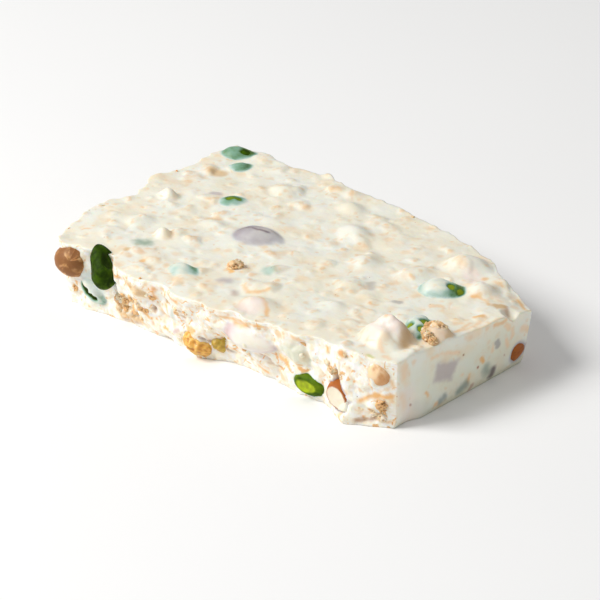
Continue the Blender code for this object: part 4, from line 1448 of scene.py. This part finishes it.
@dataclass
class ChocolateBar:
    """The poured chocolate, with its film over the kernels, its moulded wall and its breaks."""

    steps: tuple[tuple[int, int], ...] = ((17, 16), (14, 12), (8, 7))
    length: float = 130.0
    foot_radius: float = 0.7
    calm_near_wall: float = 0.06
    relax_rounds: int = 1
    rim_rounds: int = 5
    rim_reach: float = 1.3
    dome_sizes: tuple[Flat, ...] = ((4.2, 1.0), (1.9, 0.42))
    grain_depth: float = 0.14
    poke_sizes: tuple[Flat, ...] = ((7.5, 0.75), (4.0, 0.42))
    film_reach: float = 0.9
    look_round: float = 3.2
    bare_kernel_depth: float = 0.5
    bare_recess: float = 0.3
    cut_depth: float = 0.7
    ray_start: float = 0.06
    film_margin: float = 0.5
    full_film: float = 0.3
    broken_rim: float = 0.35
    broken_wall: float = 0.2
    healed_by_film: float = 0.8
    trees: dict[str, BVHTree] = field(default_factory=dict)

    def solid_point(self, u: np.ndarray, v: np.ndarray, w: np.ndarray) -> np.ndarray:
        """Places on the plain solid: u runs to the moulded wall, v from front to back and w up."""
        x, front, back = self._outline(u, v, w, fine=False)
        y = front * (1.0 - v) + back * v
        return columns(x, y, w * self.top_height(x, y))

    def _outline(self, u: np.ndarray, v: np.ndarray, w: np.ndarray, fine: bool) -> tuple[np.ndarray, ...]:
        """The x of each place and the front and back of the bar there."""
        y_guess = FRONT_GUESS + (BACK_GUESS - FRONT_GUESS) * v
        wall_top = np.interp(y_guess, *np.array(WALL_TOP).T)
        wall_base = np.interp(y_guess, *np.array(WALL_BASE).T)
        wall = wall_base * (1.0 - w) + wall_top * w
        wall = wall - self.foot_radius * np.clip(1.0 - 6.0 * w, 0.0, 1.0) ** 2
        left = LEFT_BREAK.edge(y_guess, w)
        if fine:
            left = left - self.crumble(y_guess, w, LEFT_BREAK.seed)[0]
        x = left * (1.0 - u) + wall * u
        calm = np.clip((1.0 - u) / self.calm_near_wall, 0.0, 1.0)
        front = FRONT_BREAK.edge(x, w, calm)
        back = BACK_BREAK.edge(x, w, calm)
        if fine:
            rise = w * THICKNESS
            lumps = sum(lump.rise(columns(x, rise)) for lump in FRONT_LUMPS)
            front = front - calm * (self.crumble(x, w, FRONT_BREAK.seed)[0] + lumps)
            back = back + calm * self.crumble(x, w, BACK_BREAK.seed)[0]
        return x, front, back

    def crumble(self, along: np.ndarray, rise: np.ndarray, seed: float) -> tuple[np.ndarray, ...]:
        """The small lumps of a broken side.

        Args:
            along: Places along the break.
            rise: Their height as a share of the thickness.
            seed: Chooses another scatter of lumps.

        Returns:
            How far each place stands out, and how near it is to a seam between lumps.
        """
        height = rise * THICKNESS
        places = columns(along, seed + 5.0, height)
        aside, upward = 1.3 * noise_at(places, 3.0), 1.3 * noise_at(places + 40.0, 3.0)
        pushed = columns(along + aside, height + upward)
        out = self.grain_depth * noise_at(places, 0.9)
        seam = np.zeros_like(along)
        rim = 0.35 + 0.65 * smoothstep(0.0, 0.12, rise) * smoothstep(1.0, 0.88, rise)
        for size, depth in self.dome_sizes:
            nearest, second, owner = scattered_cells(pushed, size, seed)
            dome = np.sqrt(np.clip(1.0 - (nearest / 0.8) ** 2, 0.0, 1.0))
            out = out + depth * (dome - 0.75 + 0.5 * (owner - 0.5))
            seam = np.maximum(seam, smoothstep(0.16, 0.03, second - nearest))
        return out * rim, seam

    def top_height(self, x: np.ndarray, y: np.ndarray) -> np.ndarray:
        """The height of the poured top over the base."""
        places = columns(x, y, 40.0)
        swell = 0.55 * noise_at(places, 16.0) + 0.35 * noise_at(places, 6.0)
        lumps = sum(lump.rise(places[:, :2]) for lump in TOP_LUMPS)
        return THICKNESS + swell + lumps

    def block(self) -> Piece:
        """A unit block whose sides are cut into a fine grid."""
        deselect_all()
        bpy.ops.mesh.primitive_cube_add(size=1.0, location=(0.5, 0.5, 0.5))
        bpy.ops.object.transform_apply(location=True)
        made = bpy.context.object
        bpy.ops.object.mode_set(mode="EDIT")
        bpy.ops.mesh.select_mode(type="EDGE")
        for axis, rounds in enumerate(self.steps):
            for count in rounds:
                self._select_along(made, axis)
                bpy.ops.mesh.subdivide(number_cuts=count - 1)
        bpy.ops.mesh.select_mode(type="VERT")
        bpy.ops.object.mode_set(mode="OBJECT")
        return made

    @staticmethod
    def _select_along(made: Piece, axis: int) -> None:
        """Select the edges that run along an axis."""
        bpy.ops.mesh.select_all(action="DESELECT")
        bm = bmesh.from_edit_mesh(made.data)
        for edge in bm.edges:
            step = edge.verts[1].co - edge.verts[0].co
            edge.select_set(abs(step[axis]) > 0.9 * step.length)
        bmesh.update_edit_mesh(made.data)

    def build(self, kernels: Sequence[tuple[Kernel, Piece]]) -> Piece:
        """Shape the chocolate round the kernels, in metres of the plan.

        Args:
            kernels: Each kernel with its finished mesh.

        Returns:
            The chocolate, with the values that its finish reads.
        """
        self.trees = {kernel.name: mesh_tree(made) for kernel, made in kernels}
        made = self.block()
        call(made, "chocolate_pour")
        shares = np.round(read_places(made), 6)
        u, v, w = shares.T
        sides = on_sides(shares)
        x, front, back = self._outline(u, v, w, fine=True)
        y = front * (1.0 - v) + back * v
        bumps, tips = self.pokes(x, y)
        places = columns(x, y, w * (self.top_height(x, y) + bumps))
        filmed = np.max([self.film_over(places, sides[side], side) for side in Side], axis=0)
        write_places(made, places * MM)
        self.soften(made, u, w)
        write_values(made, "poked", tips * sides[Side.TOP] * (1.0 - filmed))
        self.paint_values(made, shares, sides, filmed)
        self.paint_stains_and_shade(made, sides)
        self.paint_kernels_below(made)
        low = set(np.flatnonzero(w < HARDLY).tolist())
        base = [low.issuperset(face.vertices) for face in made.data.polygons]
        edit_chosen(made, base, bpy.ops.mesh.dissolve_faces, faces=True)
        finish_mesh(made)
        return made

    def pokes(self, x: np.ndarray, y: np.ndarray) -> tuple[np.ndarray, np.ndarray]:
        """The small bumps of the top over crisps that lie just under it.

        Args:
            x: Places along the bar.
            y: Places across it.

        Returns:
            The height of the bumps, and how far up one each place is, from 0 to 1.
        """
        lifted = columns(x, y, 11.0)
        pushed = lifted[:, :2] + 1.8 * columns(noise_at(lifted, 4.0), noise_at(lifted + 50.0, 4.0))
        height = 0.1 * noise_at(lifted, 2.4)
        tip = np.zeros_like(x)
        for size, depth in self.poke_sizes:
            nearest, _, owner = scattered_cells(pushed, size, size)
            dome = np.clip(1.0 - (nearest / 0.48) ** 2, 0.0, 1.0) * smoothstep(0.35, 0.95, owner)
            height = height + depth * dome**1.4
            tip = np.maximum(tip, dome)
        return height, tip

    def film_over(self, places: np.ndarray, chosen: np.ndarray, side: Side) -> np.ndarray:
        """Bring a side of the bar out over the kernels that lie just inside it.

        Args:
            places: The places of the bar, moved in place.
            chosen: Whether each place is on the side.
            side: The side that is brought out.

        Returns:
            How far each place belongs to a film, from 0 to 1.
        """
        deep = side.deep
        filmed = np.zeros(len(places))
        for kernel in KERNELS:
            cut_here = kernel.broken is not None and kernel.broken[0] is side
            film = Film(over=side) if cut_here else kernel.film
            if film is None or film.over is not side:
                continue
            half = max(kernel.size) / 2.0
            step = places[:, side.axes] - np.array(kernel.middle)[side.axes]
            near = np.flatnonzero(chosen & (np.linalg.norm(step, axis=1) < half + self.film_margin))
            flat = columns(*places[near][:, side.axes].T, 3.0)
            for index, thick in zip(near, self._film_cover(film, step[near] / half, flat)):
                start = Vector(places[index] * MM - np.array(side.inward) * self.ray_start)
                hit = self.trees[kernel.name].ray_cast(start, Vector(side.inward))[0]
                if hit is None:
                    continue
                now = places[index][deep] * side.way
                kernel_at = hit[deep] / MM * side.way
                if cut_here:
                    cut_at = kernel.middle[deep] * side.way + kernel.broken[1]
                    on_cut = kernel_at > cut_at - self.cut_depth
                    sunk = kernel_at - self.bare_recess
                    places[index][deep] = (min(now, sunk) if on_cut else now) * side.way
                    continue
                reached = max(now, smooth_max(now, kernel_at + thick, self.film_reach))
                places[index][deep] = reached * side.way
                filmed[index] = smoothstep(0.0, self.full_film, reached - now)
        return filmed

    @staticmethod
    def _film_cover(film: Film, step: np.ndarray, flat: np.ndarray) -> np.ndarray:
        """How thick a film is over a kernel.

        Args:
            film: The film.
            step: Each place's way from the kernel's middle, in half lengths of the kernel.
            flat: Each place on its side, with a third number for the noise.

        Returns:
            The thickness at each place, below 0 where the kernel comes through.
        """
        cover = film.thickness * (1.0 - film.thinning * smoothstep(-0.1, 0.6, step @ film.thin_towards))
        cover = cover * (1.0 + film.uneven * noise_at(flat, 2.5))
        for *spot, radius in film.bare:
            away = np.linalg.norm(flat[:, :2] - spot, axis=1) + 0.5 * noise_at(flat, 1.1)
            cover = cover - (cover + 0.35) * smoothstep(radius, radius * 0.55, away)
        return cover

    def soften(self, made: Piece, u: np.ndarray, w: np.ndarray) -> None:
        """Relax everything over the base a little, and round the rim of the moulded wall."""
        from_wall = (1.0 - u) * self.length
        drop = (1.0 - w) * THICKNESS
        rim = (w > ALMOST) & (from_wall < self.rim_reach) | (u > ALMOST) & (drop < self.rim_reach)
        for chosen, rounds in ((w > HARDLY, self.relax_rounds), (rim, self.rim_rounds)):
            edit_chosen(made, chosen, partial(bpy.ops.mesh.vertices_smooth, factor=0.5, repeat=rounds))

    def paint_values(
        self, made: Piece, shares: np.ndarray, sides: dict[Side, np.ndarray], filmed: np.ndarray
    ) -> None:
        """Write how broken each place is, and how near a seam between lumps.

        Args:
            made: The shaped chocolate.
            shares: Each place's u, v and w.
            sides: Whether each place is on each side.
            filmed: How far each place belongs to a film over a kernel.
        """
        x = read_places(made)[:, 0] / MM
        y_guess = FRONT_GUESS + (BACK_GUESS - FRONT_GUESS) * shares[:, 1]
        broken = np.any([sides[side] for side in BREAKS], axis=0)
        broken = broken * np.where(sides[Side.TOP], self.broken_rim, 1.0)
        broken = np.where(sides[Side.WALL], np.minimum(broken, self.broken_wall), broken)
        write_values(made, "broken", broken * (1.0 - self.healed_by_film * filmed))
        seam = np.zeros(len(x))
        for side, along in zip(BREAKS, (x, x, y_guess)):
            chosen = sides[side]
            seam[chosen] = self.crumble(along[chosen], shares[chosen, 2], BREAK_ON[side].seed)[1]
        write_values(made, "seam", seam)

    @staticmethod
    def paint_stains_and_shade(made: Piece, sides: dict[Side, np.ndarray]) -> None:
        """Write the colour and the share of the stains and of the painted shade, each over those before it.

        Args:
            made: The shaped chocolate.
            sides: Whether each place is on each side.
        """
        places = read_places(made) / MM
        tint = np.ones((len(places), 3))
        share = np.zeros(len(places))
        rows = [(side, stain_and_shade) for side, stains_and_shade in STAINS_AND_SHADE.items() for stain_and_shade in stains_and_shade]
        for number, (side, stain_and_shade) in enumerate(rows):
            index = np.flatnonzero(sides[side])
            mask = stain_and_shade.mask(places[index][:, side.axes], float(number))
            total = share[index] + mask * (1.0 - share[index])
            kept = (share[index] * (1.0 - mask) / np.clip(total, 1e-6, None))[:, None]
            tint[index] = tint[index] * kept + np.array(stain_and_shade.colour[:3]) * (1.0 - kept)
            share[index] = total
        write_colours(made, "stain_and_shade", tint)
        write_values(made, "stain_and_shade_share", share)

    def paint_kernels_below(self, made: Piece) -> None:
        """Write how deep under the surface the nearest kernel of each colour lies."""
        places = read_places(made) / MM
        names = {
            Kind.PISTACHIO: "green_below",
            Kind.ALMOND: "brown_below",
            Kind.HAZELNUT: "pale_below",
            Kind.SULTANA: "pale_below",
            Kind.BLANCHED_ALMOND: "rose_below",
        }
        below = {name: np.full(len(places), self.look_round) for name in names.values()}
        for kernel in KERNELS:
            reach = max(kernel.size) / 2.0 + self.look_round
            depth = below[names[kernel.kind]]
            cover = 0.0 if kernel.film else self.bare_kernel_depth
            for index in np.flatnonzero(np.linalg.norm(places - kernel.middle, axis=1) < reach):
                place = Vector(places[index]) * MM
                near, normal, _, away = self.trees[kernel.name].find_nearest(place, self.look_round * MM)
                if near is not None:
                    distance = away / MM if (place - near).dot(normal) > 0.0 else 0.0
                    depth[index] = min(depth[index], distance + cover)
        for name, depth in below.items():
            write_values(made, name, depth)


# Crisps and flakes


@dataclass(frozen=True)
class Bit:
    """A crisp or flake: where it lies, the way out of the bar there, and its size in millimetres."""

    middle: Vector
    outward: Vector
    size: float
    tone: float = 0.5


@dataclass
class BitScatter:
    """Places the crisps and flakes that the solid has, from the same numbers."""

    bar: ChocolateBar
    seed: int = 7
    crisps: int = 34
    flakes: int = 48
    crisp_radii: Flat = (1.2, 2.4)
    flake_lengths: Flat = (3.0, 5.6)
    crisp_sunk: float = 0.6
    flake_sunk: float = 0.2
    bit_to_kernel: float = 1.6
    least_base_clearance: float = 0.7
    rises: Flat = (0.14, 0.94)
    shares: Flat = (0.02, 0.985)
    weights: tuple[int, ...] = (5, 5, 3)
    cluster_rises: Flat = (3.0, 18.5)
    clusters: tuple[tuple[float, float, float, int], ...] = (
        (-97.0, 8.0, 5.0, 7),
        (-17.5, 12.5, 2.5, 4),
        (-5.5, 5.0, 2.5, 4),
        (-88.0, 12.0, 4.0, 3),
    )
    nibs: tuple[tuple[Place, float], ...] = (
        ((-2.6, 19.6, 20.4), 3.4),
        ((-71.6, 13.6, 20.2), 2.4),
        ((-9.0, 55.4, 19.0), 1.8),
    )
    shell: tuple[Flat, ...] = (
        (-4.4, 22.8),
        (-5.4, 21.2),
        (-5.8, 19.3),
        (-5.2, 17.4),
        (-3.9, 15.9),
        (-2.1, 14.9),
        (-0.2, 14.5),
    )
    shell_height: float = 20.9
    shell_radius: float = 1.4
    crisp_draws: int = 12
    flake_draws: int = 4

    @staticmethod
    def skip(rng: random.Random, draws: int) -> None:
        """Pass over the draws that shape a bit of the solid and aren't used here."""
        for _ in range(draws):
            rng.uniform(0.0, 1.0)

    def on_side(self, rng: random.Random) -> tuple[Vector, Vector]:
        """A random place on the broken sides with its outward direction."""
        side = rng.choices(BREAKS, weights=self.weights)[0]
        share = rng.uniform(*self.shares)
        rise = rng.uniform(*self.rises)
        u, v = {Side.FRONT: (share, 0.0), Side.BACK: (share, 1.0), Side.LEFT: (0.0, share)}[side]
        point = self.bar.solid_point(np.array([u]), np.array([v]), np.array([rise]))[0]
        return Vector(point), Vector(side.outward)

    def on_front(self, x: float, z: float) -> tuple[Vector, Vector]:
        """The place on the solid's front break at this x and height."""
        y = FRONT_BREAK.edge(np.array([x]), np.array([z / THICKNESS]))[0]
        return Vector((x, y, z)), Vector(Side.FRONT.outward)

    def is_clear(self, middle: Vector, radius: float) -> bool:
        """Whether a bit of this radius is clear of every kernel and of the base."""
        if middle.z - radius < self.least_base_clearance:
            return False
        for kernel in KERNELS:
            turned = KernelShape(kernel).turn().T @ (np.array(middle) - kernel.middle)
            half = np.array(kernel.size) / 2.0 + self.bit_to_kernel + radius / 2.0
            if float(np.sum((turned / half) ** 2)) < 1.0:
                return False
        return True

    def solid_bits(self) -> tuple[list[Bit], list[Bit]]:
        """The crisps and the flakes that the solid has, in that order."""
        rng = random.Random(self.seed)
        crisps, flakes = [], []
        for middle, radius in self.nibs:
            self.skip(rng, self.crisp_draws)
            crisps.append(Bit(Vector(middle), UP, radius, 0.5))
        for number, (x, y) in enumerate(self.shell):
            middle = Vector((x, y, self.shell_height + 0.25 * (number % 3)))
            crisps.append(Bit(middle, UP, self.shell_radius + 0.2 * (number % 2), 0.6))
        places = [self.on_side(rng) for _ in range(self.crisps)]
        for x, z, spread, count in self.clusters:
            for _ in range(count):
                low, high = self.cluster_rises
                near_z = min(max(z + rng.uniform(-spread, spread), low), high)
                places.append(self.on_front(x + rng.uniform(-spread, spread), near_z))
        for middle, outward in places:
            radius = rng.uniform(*self.crisp_radii)
            if self.is_clear(middle, radius):
                self.skip(rng, self.crisp_draws)
                sunk = middle - outward * radius * self.crisp_sunk
                crisps.append(Bit(sunk, outward, radius, 0.25 + 0.6 * (radius % 0.4) / 0.4))
        for _ in range(self.flakes):
            middle, outward = self.on_side(rng)
            length = rng.uniform(*self.flake_lengths)
            if self.is_clear(middle, length / 2.0):
                self.skip(rng, self.flake_draws)
                sunk = middle - outward * length * self.flake_sunk
                flakes.append(Bit(sunk, outward, length, length % 1.0))
        return crisps, flakes


@dataclass
class Bits:
    """Small things of one sort: a few models, each copied to many places."""

    models: int = 1
    seed: int = 1
    sharp_degrees: float = 180.0

    def model(self, number: int) -> Piece:
        """Shape one of the models, of size 1."""
        raise NotImplementedError

    def stand(self, bit: Bit, rng: random.Random) -> Matrix:
        """How a copy is turned and sized for its bit."""
        raise NotImplementedError

    def build(self, bits: Sequence[Bit], name: str) -> Piece:
        """Copy the models to every bit and join the copies to one piece."""
        rng = random.Random(self.seed)
        models = [self.model(number) for number in range(self.models)]
        parts = []
        for number, bit in enumerate(bits):
            part = models[number % self.models].copy()
            part.data = part.data.copy()
            bpy.context.scene.collection.objects.link(part)
            part.data.transform(Matrix.Translation(bit.middle * MM) @ self.stand(bit, rng))
            write_values(part, "tone", np.full(len(part.data.vertices), bit.tone))
            parts.append(part)
        for model in models:
            bpy.data.objects.remove(model, do_unlink=True)
        made = join(parts, name)
        finish_mesh(made, self.sharp_degrees)
        return made


@dataclass
class CrispPuffs(Bits):
    """The porous crisps, each a lumpy ball pitted with pores."""

    models: int = 5
    seed: int = 11
    detail: int = 4
    pores: int = 90

    def model(self, number: int) -> Piece:
        """Shape one crisp of radius 1."""
        rng = np.random.default_rng(self.seed + number)
        deselect_all()
        bpy.ops.mesh.primitive_ico_sphere_add(subdivisions=self.detail, radius=1.0)
        made = bpy.context.object
        ball = read_places(made)
        middles = rng.normal(size=(self.pores, 3))
        middles /= np.linalg.norm(middles, axis=1)[:, None]
        radii = rng.uniform(0.1, 0.26, self.pores)
        reach = np.linalg.norm(ball[:, None, :] - middles[None], axis=2) / radii[None]
        pit = np.clip(1.0 - reach, 0.0, 1.0).max(axis=1)
        body = 1.0 + 0.24 * noise_at(ball + number * 7.0, 0.75) + 0.1 * noise_at(ball + number * 3.0, 0.3)
        places = ball * (body - 0.3 * smoothstep(0.0, 0.8, pit))[:, None]
        write_places(made, places)
        write_values(made, "pore", smoothstep(0.1, 0.7, pit))
        return made

    def stand(self, bit: Bit, rng: random.Random) -> Matrix:
        """A turn any way, and a slightly uneven size."""
        spin = Euler([rng.uniform(-math.pi, math.pi) for _ in range(3)]).to_matrix().to_4x4()
        sizes = [bit.size * MM * rng.uniform(0.82, 1.1) for _ in range(3)]
        return spin @ Matrix.Diagonal((*sizes, 1.0))


@dataclass
class WaferFlakes(Bits):
    """The thin flakes of wafer: curved plates that stand edge on in the breaks."""

    models: int = 6
    seed: int = 23
    sharp_degrees: float = 50.0
    thickness: float = 0.42

    def model(self, number: int) -> Piece:
        """Shape one flake of length 1, whose depth runs along y."""
        rng = np.random.default_rng(self.seed + number)
        deselect_all()
        bpy.ops.mesh.primitive_grid_add(x_subdivisions=7, y_subdivisions=2, size=1.0)
        made = bpy.context.object
        flat = read_places(made)
        curl = rng.uniform(0.1, 0.5) * rng.choice([-1.0, 1.0])
        bend = curl * (flat[:, 0] ** 2 - 0.08) + 0.07 * noise_at(flat + number * 9.0, 0.35)
        narrow = 1.0 - 0.7 * np.abs(2.0 * flat[:, 0]) ** 3
        places = columns(flat[:, 0], flat[:, 1] * narrow * rng.uniform(0.45, 0.8), bend)
        write_places(made, places)
        thick = made.modifiers.new("Thickness", "SOLIDIFY")
        thick.thickness = self.thickness / 4.0
        thick.offset = 0.0
        bpy.ops.object.modifier_apply(modifier=thick.name)
        return made

    def stand(self, bit: Bit, rng: random.Random) -> Matrix:
        """Edge outwards, at any turn round that direction and with a lean."""
        spin = Matrix.Rotation(rng.uniform(-math.pi, math.pi), 4, bit.outward)
        lean = Euler([rng.uniform(-0.5, 0.5) for _ in range(3)]).to_matrix().to_4x4()
        edge_out = bit.outward.to_track_quat("Y", "Z").to_matrix().to_4x4()
        size = Matrix.Diagonal((bit.size * MM, bit.size * MM * 0.7, bit.size * MM, 1.0))
        return spin @ lean @ edge_out @ size


# Where the rays at each break start: the range along it, and the position across it.
RAYS = {
    Side.FRONT: ((-124.0, -0.8), -30.0),
    Side.BACK: ((-126.0, 3.0), 100.0),
    Side.LEFT: ((-4.0, 74.0), -150.0),
}


@dataclass
class SurfaceScatter:
    """Finds random places on the finished breaks, clear of the kernels."""

    bar: Piece
    trees: dict[str, BVHTree]
    clearance: float = 0.5
    heights: Flat = (0.8, 19.6)
    weights: tuple[int, ...] = (6, 5, 3)
    flat_from: float = 0.8

    def places(
        self, count: int, lengths: Flat, sunk: float, seed: int, window: tuple[Flat, Flat] | None = None
    ) -> list[Bit]:
        """Bits sunk in the breaks.

        Args:
            count: How many rays are sent at the breaks.
            lengths: The least and the largest size of a bit.
            sunk: How far each one's middle is under the surface, as a share of its size.
            seed: Chooses another scatter.
            window: The x and z ranges on the front to stay in, or None for all the breaks.

        Returns:
            The bits that are clear of the kernels.
        """
        rng = random.Random(seed)
        tree = mesh_tree(self.bar)
        found = []
        for _ in range(count):
            start, inward = self._ray(rng, window)
            hit, normal, _, _ = tree.ray_cast(start * MM, inward)
            length = lengths[0] + (lengths[1] - lengths[0]) * rng.random() ** 2
            tone = rng.random()
            if hit is None or abs(normal.z) > self.flat_from:
                continue
            near = min(tree_of.find_nearest(hit)[3] for tree_of in self.trees.values()) / MM
            if near < self.clearance + 0.25 * length:
                continue
            outward = (normal - inward).normalized()
            found.append(Bit(hit / MM - outward * length * sunk, outward, length, tone))
        return found

    def _ray(self, rng: random.Random, window: tuple[Flat, Flat] | None) -> tuple[Vector, Vector]:
        """A random ray at the front, the back or the left."""
        if window:
            x, z = (rng.uniform(*span) for span in window)
            return Vector((x, RAYS[Side.FRONT][1], z)), Vector(Side.FRONT.inward)
        z = rng.uniform(*self.heights)
        side = rng.choices(BREAKS, weights=self.weights)[0]
        span, start = RAYS[side]
        along = rng.uniform(*span)
        place = (start, along, z) if side is Side.LEFT else (along, start, z)
        return Vector(place), Vector(side.inward)


# Studio


@dataclass(frozen=True)
class Lamp:
    """A square area light: where it stands in the plan, its size in metres, its power and colour."""

    name: str
    start: Place
    size: float
    power: float
    hue: Place

    def make(self) -> bpy.types.Light:
        """Write the light."""
        light = bpy.data.lights.new(self.name, "AREA")
        light.shape = "SQUARE"
        light.size = self.size
        light.energy = self.power
        light.color = self.hue
        return light


@dataclass
class Studio:
    """A pale floor, a soft key from the left, a weaker fill and the camera.

    anchor is where the origin of the plan lies in the row frame, in metres.
    """

    anchor: Vector
    floor_half: float = 3.0
    floor_drop: float = 0.05
    camera_from: Place = (564.7, -680.2, 490.1)
    aim: Place = (-60.0, 28.0, 8.0)
    lens: float = 224.0
    film_width: float = 36.0
    sees: Flat = (0.01, 20.0)
    sky: float = 0.38
    lamps: tuple[Lamp, ...] = (
        Lamp("key", (-620.0, -640.0, 820.0), 0.55, 12.8, (1.0, 0.99, 0.975)),
        Lamp("fill", (900.0, -300.0, 500.0), 0.9, 0.8, (0.93, 0.97, 1.0)),
    )

    def build(self) -> None:
        """Set up the studio round the bar."""
        deselect_all()
        middle = (0.0, 0.0, -self.floor_drop * MM)
        bpy.ops.mesh.primitive_grid_add(
            x_subdivisions=8, y_subdivisions=8, size=2.0 * self.floor_half, location=middle
        )
        floor = bpy.context.object
        floor.name = "floor"
        floor.data.materials.append(FloorFinish().make())
        bpy.ops.object.transform_apply(location=True)
        for lamp in self.lamps:
            self._stand(lamp.name, lamp.make(), lamp.start)
        world = bpy.data.worlds.new("studio")
        world.use_nodes = True
        background = world.node_tree.nodes["Background"]
        background.inputs["Color"].default_value = (1.0, 1.0, 1.0, 1.0)
        background.inputs["Strength"].default_value = self.sky
        bpy.context.scene.world = world
        camera = bpy.data.cameras.new("camera")
        camera.lens = self.lens
        camera.sensor_width = self.film_width
        camera.clip_start, camera.clip_end = self.sees
        bpy.context.scene.camera = self._stand("camera", camera, self.camera_from)
        bpy.context.scene.view_settings.view_transform = "Standard"

    def _stand(self, name: str, data: bpy.types.ID, start: Place) -> Piece:
        """Stand a lamp or the camera at a place of the plan and turn it to the bar."""
        thing = bpy.data.objects.new(name, data)
        bpy.context.scene.collection.objects.link(thing)
        thing.location = self.anchor + Vector(start) * MM
        thing.rotation_mode = "QUATERNION"
        aim = self.anchor + Vector(self.aim) * MM
        thing.rotation_quaternion = (aim - thing.location).to_track_quat("-Z", "Y")
        return thing


# The whole piece

FINISHES: dict[Kind, PistachioFinish | NutFinish | SultanaFinish] = {
    Kind.PISTACHIO: PistachioFinish(),
    Kind.HAZELNUT: NutFinish(
        "hazelnut_dressed",
        light=paint(248, 218, 176),
        dark=paint(228, 172, 108),
        skin=paint(198, 128, 62),
        heart=paint(244, 224, 190),
        skin_from=0.6,
    ),
    Kind.ALMOND: NutFinish(
        "almond_dressed",
        light=paint(172, 96, 34),
        dark=paint(104, 52, 18),
        skin=paint(138, 78, 28),
        heart=paint(240, 230, 208),
        skin_from=0.5,
    ),
    Kind.BLANCHED_ALMOND: NutFinish(
        "blanched_almond_dressed",
        light=paint(240, 238, 226),
        dark=paint(226, 216, 200),
        skin=paint(214, 192, 184),
        heart=paint(242, 236, 218),
        skin_from=0.6,
        rough=0.35,
    ),
    Kind.SULTANA: SultanaFinish(),
}


def keep_over_base(made: Piece, least: float = 0.03 * MM) -> None:
    """Flatten what a sunk piece would show under the flat base."""
    places = read_places(made)
    places[:, 2] = np.maximum(places[:, 2], least)
    write_places(made, places)


def hand_over(made: Piece, material: bpy.types.Material) -> None:
    """Set a finished piece down in the row frame, dress it and let it ride on the body."""
    made.data.transform(Matrix.Translation(PLAN_ORIGIN))
    made.data.materials.clear()
    made.data.materials.append(material)
    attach(made, BODY)
    log.info("%s: %d faces", made.name, len(made.data.polygons))


def main() -> None:
    """Build every piece of the bar, then the studio."""
    logging.basicConfig(level=logging.INFO, format="%(message)s")
    kernels = [(kernel, KernelShape(kernel).build()) for kernel in KERNELS]
    bar = ChocolateBar()
    chocolate = bar.build(kernels)
    crisps, flakes = BitScatter(bar).solid_bits()
    scatter = SurfaceScatter(chocolate, bar.trees)
    flakes += scatter.places(count=420, lengths=(1.2, 3.8), sunk=0.26, seed=5)
    crumbs = scatter.places(count=36, lengths=(0.8, 1.6), sunk=0.55, seed=3)
    rough_patch = ((-100.0, -89.0), (4.0, 12.0))
    crumbs += scatter.places(count=16, lengths=(1.0, 1.9), sunk=0.5, seed=9, window=rough_patch)
    bits = (
        (CrispPuffs().build(crisps, "crisp_puffs"), CrispFinish().make()),
        (CrispPuffs(detail=3, pores=40).build(crumbs, "crisp_crumbs"), CrispFinish().make()),
        (WaferFlakes().build(flakes, "wafer_flakes"), FlakeFinish().make()),
    )

    hand_over(chocolate, ChocolateFinish().make())
    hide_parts("white_chocolate")
    for made, material in bits:
        keep_over_base(made)
        hand_over(made, material)
    materials = {kind: finish.make() for kind, finish in FINISHES.items()}
    for kernel, made in kernels:
        keep_over_base(made)
        hand_over(made, materials[kernel.kind])
        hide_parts(kernel.name)
    Studio(PLAN_ORIGIN).build()


if __name__ == "__main__":
    main()
